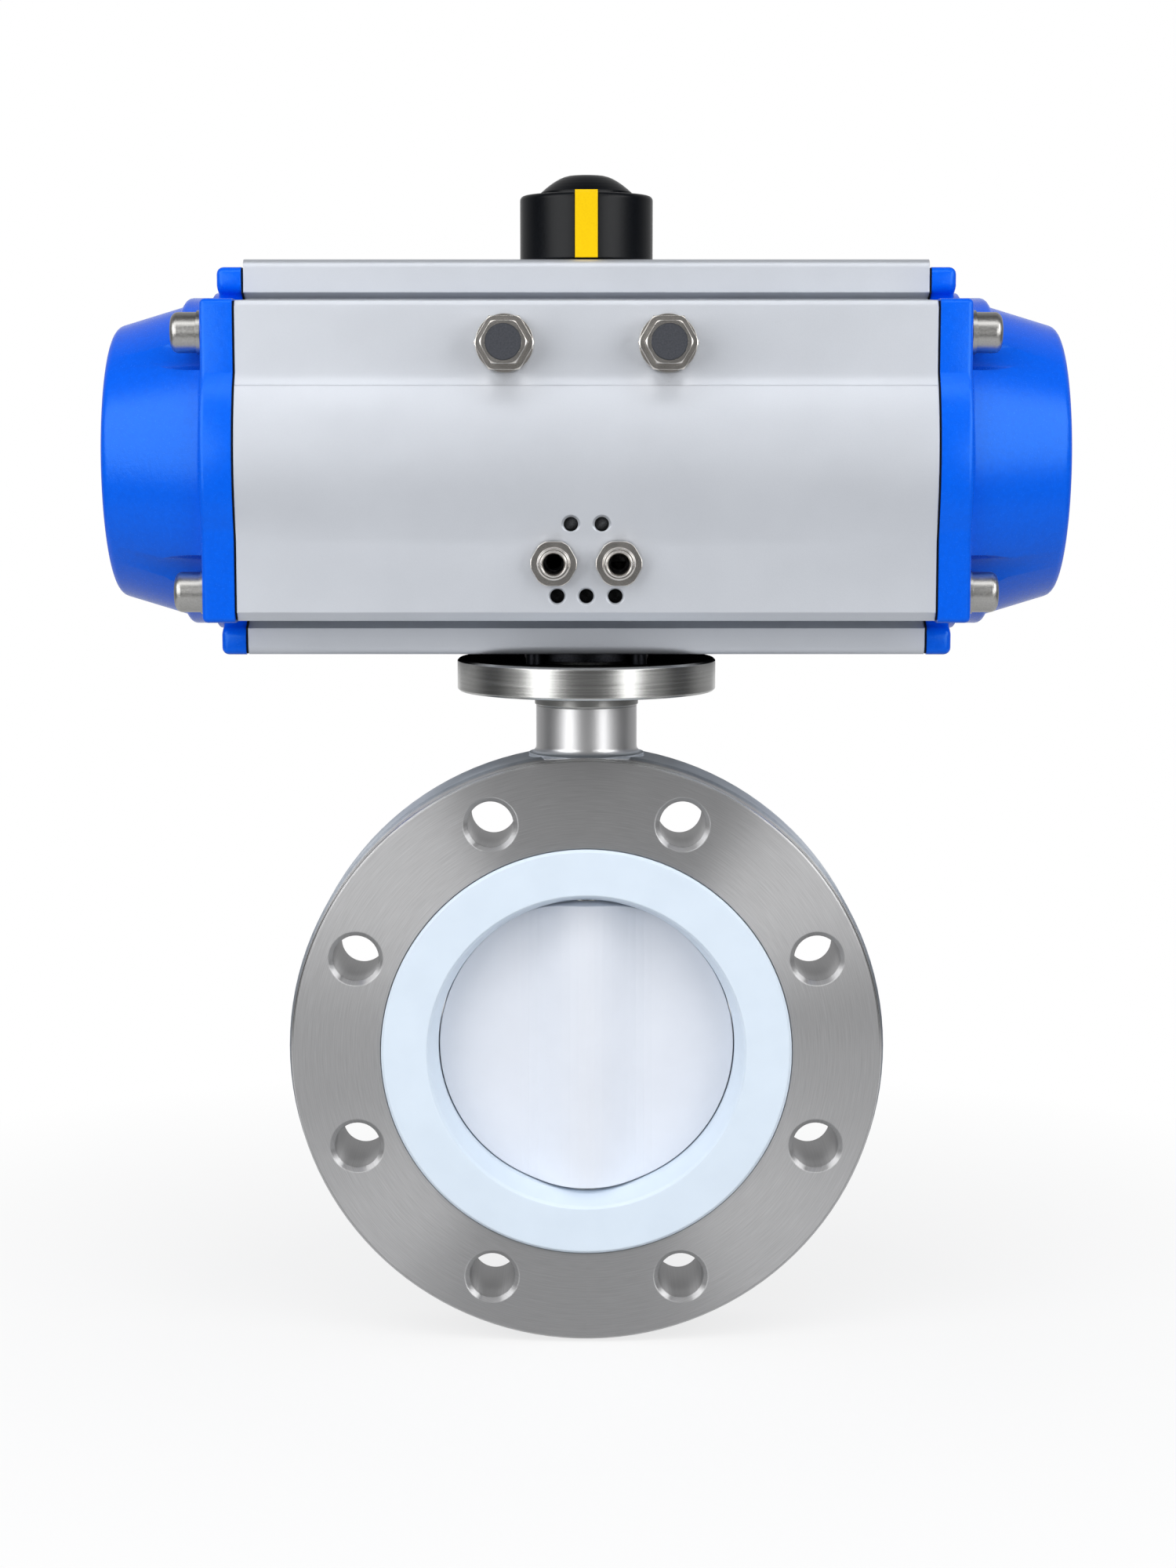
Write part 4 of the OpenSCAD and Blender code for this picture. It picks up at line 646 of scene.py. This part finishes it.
class VALVE_OT_end_caps(bpy.types.Operator):
    """Models the two cast end caps with their rounded edges, cups and screw pockets"""

    bl_idname = "valve.end_caps"
    bl_label = "End caps"

    def execute(self, context):
        sizes = context.scene.valve_sizes
        right = self.plate()
        combine(right, self.cup(sizes), "UNION")
        clearance_r = 6.5 * MM
        for y, z in self.screws(sizes):
            hole = rod(clearance_r, 30 * MM, (PLATE_X - 5 * MM, y, z))
            combine(right, hole, "DIFFERENCE")
        only(right)
        bpy.ops.object.duplicate()
        left = context.object
        left.scale.x = -1
        only(left)
        bpy.ops.object.transform_apply(scale=True)
        bpy.ops.object.mode_set(mode="EDIT")
        bpy.ops.mesh.select_all(action="SELECT")
        bpy.ops.mesh.remove_doubles(threshold=SAME_POINT)
        bpy.ops.mesh.normals_make_consistent(inside=False)
        bpy.ops.object.mode_set(mode="OBJECT")
        made = coated_blue(sizes)
        settle(right, "cast_cap_right", made, "housing", "blue_coated_aluminium", "end_cap_right")
        settle(left, "cast_cap_left", made, "housing", "blue_coated_aluminium", "end_cap_left")
        return {"FINISHED"}

    def screws(self, sizes):
        """Where the four cap screws are, as (y, z)."""
        return [
            (y, AXIS_Z + z)
            for y in (-sizes.cap_screw_y, sizes.cap_screw_y)
            for z in (-sizes.cap_screw_z, sizes.cap_screw_z)
        ]

    def plate(self):
        """The plate that covers the housing's end, with ears over the two pads."""
        # Half of the plate's outline from top to bottom, as (y, z) from the axis: the upper
        # flat, a slope down to the crease, the round bulge in steps, and the lower flat
        bulge, upper, lower = 86.8, 75.8, 80.8
        top, flat_from, crease, crease_step, base = 74.1, 40.7, 35.8, 0.25, -72.3
        half = [(upper, top), (upper, flat_from)]
        half += [(math.sqrt(bulge**2 - crease**2) - crease_step, crease)]
        start, end, steps = math.asin(crease / bulge), -math.acos(lower / bulge), 16
        for i in range(1, steps):
            turn = start + (end - start) * i / steps
            half.append((bulge * math.cos(turn), bulge * math.sin(turn)))
        half += [(lower, bulge * math.sin(end)), (lower, base)]
        # The block starts behind the gasket face, and is cut there once it is rounded
        spare = 4
        back = PLATE_X - spare * MM
        o = self.block("plate", half, back, PLATE_T + spare, radius=2.6)
        # Each ear has a neck in the groove and a head over the pad: (far, near, neck, inner)
        head, waist = 38.8, 32.0
        for far, near, neck, inner in ((90.0, 79.1, 76.5, 64.0), (-90.0, -78.3, -75.3, -62.0)):
            half = [(head, far), (head, near), (waist, neck), (waist, inner)]
            combine(o, self.block("ear", half, back - MM, 16.5, radius=3.2), "UNION")
        # The gasket face is flat and sharp
        only(o)
        bpy.ops.object.mode_set(mode="EDIT")
        bpy.ops.mesh.select_all(action="SELECT")
        bpy.ops.mesh.bisect(
            plane_co=(PLATE_X, 0, 0),
            plane_no=(1, 0, 0),
            clear_inner=True,
            use_fill=True,
            threshold=0.001 * MM,
        )
        bpy.ops.object.mode_set(mode="OBJECT")
        opening_r = 70 * MM
        opening = rod(opening_r, 40 * MM, (PLATE_X - 10 * MM, 0, AXIS_Z), sides=128)
        combine(o, opening, "DIFFERENCE")
        return o

    def block(self, name, half, start, reach, radius):
        """Half an outline in millimetres, mirrored and drawn out along X, its edges rounded."""
        outline = half + [(-y, z) for y, z in reversed(half)]
        o = draw(name, [(start, y * MM, AXIS_Z + z * MM) for y, z in outline])
        thicken(o, reach * MM)
        finish_with(
            o,
            "BEVEL",
            width=radius * MM,
            segments=4,
            limit_method="ANGLE",
            angle_limit=math.radians(32),
            use_clamp_overlap=False,
        )
        return o

    def cup(self, sizes):
        """The tapered cup with its spigot, hollow and two ribs, cut back round each screw."""
        # Profiles are (x, radius) in millimetres; the cup stands on the plate's outer face
        face = PLATE_X / MM + PLATE_T
        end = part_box("end_cap_right")[1].x / MM
        base_r, base_round, end_flat_r, end_round = 79.6, 2.2, 59.7, 5
        spigot_r, spigot_end, wall = 74.65, face - 22, 6
        rib_r, rib_round, rib_end = 77.3, 3, face + 14.5
        pocket_r = 16.8 * MM
        outer = [(end, 0.0)]
        outer += self.arc(end - end_round, end_flat_r, end_round, 0, 73, 5)
        outer += self.arc(face + base_round, base_r, base_round, 256, 180, 4)
        outer += [(face - 8, base_r), (face - 8, spigot_r)]
        outer += [(spigot_end, spigot_r), (spigot_end, 0.0)]
        o = self.turned("cup", outer)
        # The ribs over and under the cup join it to the ears, and stop short of the screws
        rib = [(face - 2, 0.0), (face - 2, rib_r)]
        rib += self.arc(rib_end - rib_round, rib_r - rib_round, rib_round, 90, 0, 4)
        rib += [(rib_end, 0.0)]
        ribs = self.turned("ribs", rib)
        bpy.ops.mesh.primitive_cube_add(size=1, location=(face * MM, 0, AXIS_Z))
        wide = bpy.context.object
        wide.scale = (60 * MM, 2 * sizes.rib_half, 200 * MM)
        combine(ribs, wide, "INTERSECT")
        combine(o, ribs, "UNION")
        for y, z in self.screws(sizes):
            # It starts just inside the plate, so that the plate's face is the pocket's floor
            pocket = rod(pocket_r, 60 * MM, ((face - 0.05) * MM, y, z), sides=64)
            combine(o, pocket, "DIFFERENCE")
        # The hollow starts 1 mm outside the spigot's end, so that it cuts it open
        open_r = spigot_r - wall
        narrow_r, end_r = open_r - 3, 57.0
        hollow = [
            (spigot_end - 1, 0.0), (spigot_end - 1, open_r), (spigot_end, open_r),
            (face - PLATE_T, narrow_r), (rib_end, narrow_r), (end - wall, end_r), (end - wall, 0.0),
        ]
        combine(o, self.turned("hollow", hollow), "DIFFERENCE")
        return o

    def turned(self, name, profile):
        """A closed body turned round the cylinder's axis from (x, radius) points."""
        o = draw(name, [(x * MM, 0.0, AXIS_Z + r * MM) for x, r in profile], closed=False)
        return spin(o, 120, (0, 0, AXIS_Z), (1, 0, 0))

    def arc(self, x, r, radius, start, end, steps):
        """Points on an arc in millimetres, from start to end in degrees."""
        out = []
        for i in range(steps + 1):
            turn = math.radians(start + (end - start) * i / steps)
            out.append((x + radius * math.cos(turn), r + radius * math.sin(turn)))
        return out


class VALVE_OT_metal(bpy.types.Operator):
    """Gives the steel, aluminium and bronze nodes their finishes"""

    bl_idname = "valve.metal"
    bl_label = "Metal parts"

    def execute(self, context):
        sizes = context.scene.valve_sizes
        casting = flange_steel(sizes)
        rounded("valve_body", "ring_and_neck", 0.9 * MM, casting, "housing", "cast_stainless")
        ground = polished_steel(sizes, covered=25 * MM)
        rounded("top_flange", "actuator_flange", 0.5 * MM, ground, "housing", "machined_stainless")
        blasted, slot = blasted_aluminium(sizes), "anodised_aluminium"
        rounded("actuator_housing", "extruded_housing", 0.5 * MM, blasted, "housing", slot)
        dress(
            [
                "cap_screws_left", "cap_screws_right", "cap_washers_left", "cap_washers_right",
                "indicator_screw", "bottom_plug", "disc_core",
            ],
            satin_steel(sizes),
        )
        nickel = satin_steel(
            sizes,
            "Nickel-plated steel",
            ("e2ded9", "ebe7e2"),
            (0.23, 0.26),
            dent=0.001 * MM,
            apart=6 * MM,
        )
        for name, new_name in (
            ("air_fitting_a", "fitting_left"), ("air_fitting_b", "fitting_right"),
            ("stop_screw_left", "stop_left"), ("stop_screw_right", "stop_right"),
            ("stop_nut_left", "lock_nut_left"), ("stop_nut_right", "lock_nut_right"),
        ):
            rounded(name, new_name, 0.3 * MM, nickel, "housing", "nickel_steel")
        dress(
            ["upper_stem", "lower_stem", "gland_ring", "pinion"],
            polished_steel(sizes, "Ground shaft steel", (0.18, 0.28)),
        )
        dress(
            ["piston_left", "piston_right"],
            satin_steel(sizes, "Die-cast aluminium", ("a8abb0", "bcc0c6"), (0.38, 0.5)),
        )
        dress(
            ["stop_cam"],
            satin_steel(sizes, "Laser-cut steel", ("6b6b6b", "858585"), (0.4, 0.55)),
        )
        dress(
            ["gland_circlip", "pinion_circlip", "spacer_ring", "mounting_screws"],
            satin_steel(sizes, "Blued spring steel", ("1c1d20", "2b2c30"), (0.3, 0.42)),
        )
        dress(
            ["stem_thrust_washer", "neck_lower_bush", "neck_upper_bush", "bottom_bush"],
            satin_steel(sizes, "Sintered bearing bronze", ("8f6a3a", "a87f48"), (0.4, 0.55)),
        )
        return {"FINISHED"}


class VALVE_OT_plastic(bpy.types.Operator):
    """Gives the plastic and rubber nodes their finishes"""

    bl_idname = "valve.plastic"
    bl_label = "Plastic parts"

    def execute(self, context):
        sizes = context.scene.valve_sizes
        dress(["seat_liner"], fluoroplastic(sizes))
        dress(["disc_lining"], fluoroplastic(sizes, "Moulded PFA", ("dfe3eb", "e2e6ee")))
        dress(
            ["indicator_cap", "indicator_dome"],
            moulded_plastic(sizes, "Moulded ABS, black", ("030509", "070a10")),
        )
        dress(
            ["indicator_strip"],
            moulded_plastic(sizes, "Moulded ABS, yellow", ("eec200", "f3c900")),
        )
        dress(
            ["stop_screw_plugs"],
            moulded_plastic(sizes, "Moulded nylon, grey", ("3b3d42", "484a50"), (0.55, 0.65)),
        )
        rubber = moulded_plastic(
            sizes, "Vulcanised rubber", ("101112", "1a1b1c"), (0.6, 0.72), grain_size=0.6 * MM
        )
        dress(
            [
                "liner_backing", "stem_seals", "bottom_plug_seal", "pinion_seals", "fitting_seals",
                "cap_gasket_left", "cap_gasket_right", "piston_seal_left", "piston_seal_right",
            ],
            rubber,
        )
        dress(
            [
                "wear_ring_left", "wear_ring_right", "rack_pad_left", "rack_pad_right",
                "pinion_lower_bearing", "pinion_upper_bearing", "thrust_washer",
            ],
            moulded_plastic(sizes, "Moulded acetal", ("cdc9bc", "d8d4c8"), (0.4, 0.5)),
        )
        return {"FINISHED"}


class VALVE_PT_panel(bpy.types.Panel):
    """Lists the steps that dress the valve"""

    bl_idname = "VALVE_PT_panel"
    bl_label = "Pneumatic butterfly valve"
    bl_space_type = "VIEW_3D"
    bl_region_type = "UI"
    bl_category = "Valve"

    def draw(self, context):
        sizes = context.scene.valve_sizes
        for name in (
            "edge_radius", "cap_screw_y", "cap_screw_z", "rib_half",
            "lens", "camera_place", "camera_dip",
        ):
            self.layout.prop(sizes, name)
        for made in OPERATORS:
            self.layout.operator(made.bl_idname)


OPERATORS = (VALVE_OT_stage, VALVE_OT_end_caps, VALVE_OT_metal, VALVE_OT_plastic)
CLASSES = (ValveSizes, *OPERATORS, VALVE_PT_panel)


def register():
    for made in CLASSES:
        bpy.utils.register_class(made)
    bpy.types.Scene.valve_sizes = bpy.props.PointerProperty(type=ValveSizes)


def unregister():
    del bpy.types.Scene.valve_sizes
    for made in reversed(CLASSES):
        bpy.utils.unregister_class(made)


def main():
    register()
    bpy.ops.valve.stage()
    bpy.ops.valve.end_caps()
    bpy.ops.valve.metal()
    bpy.ops.valve.plastic()


if __name__ == "__main__":
    main()
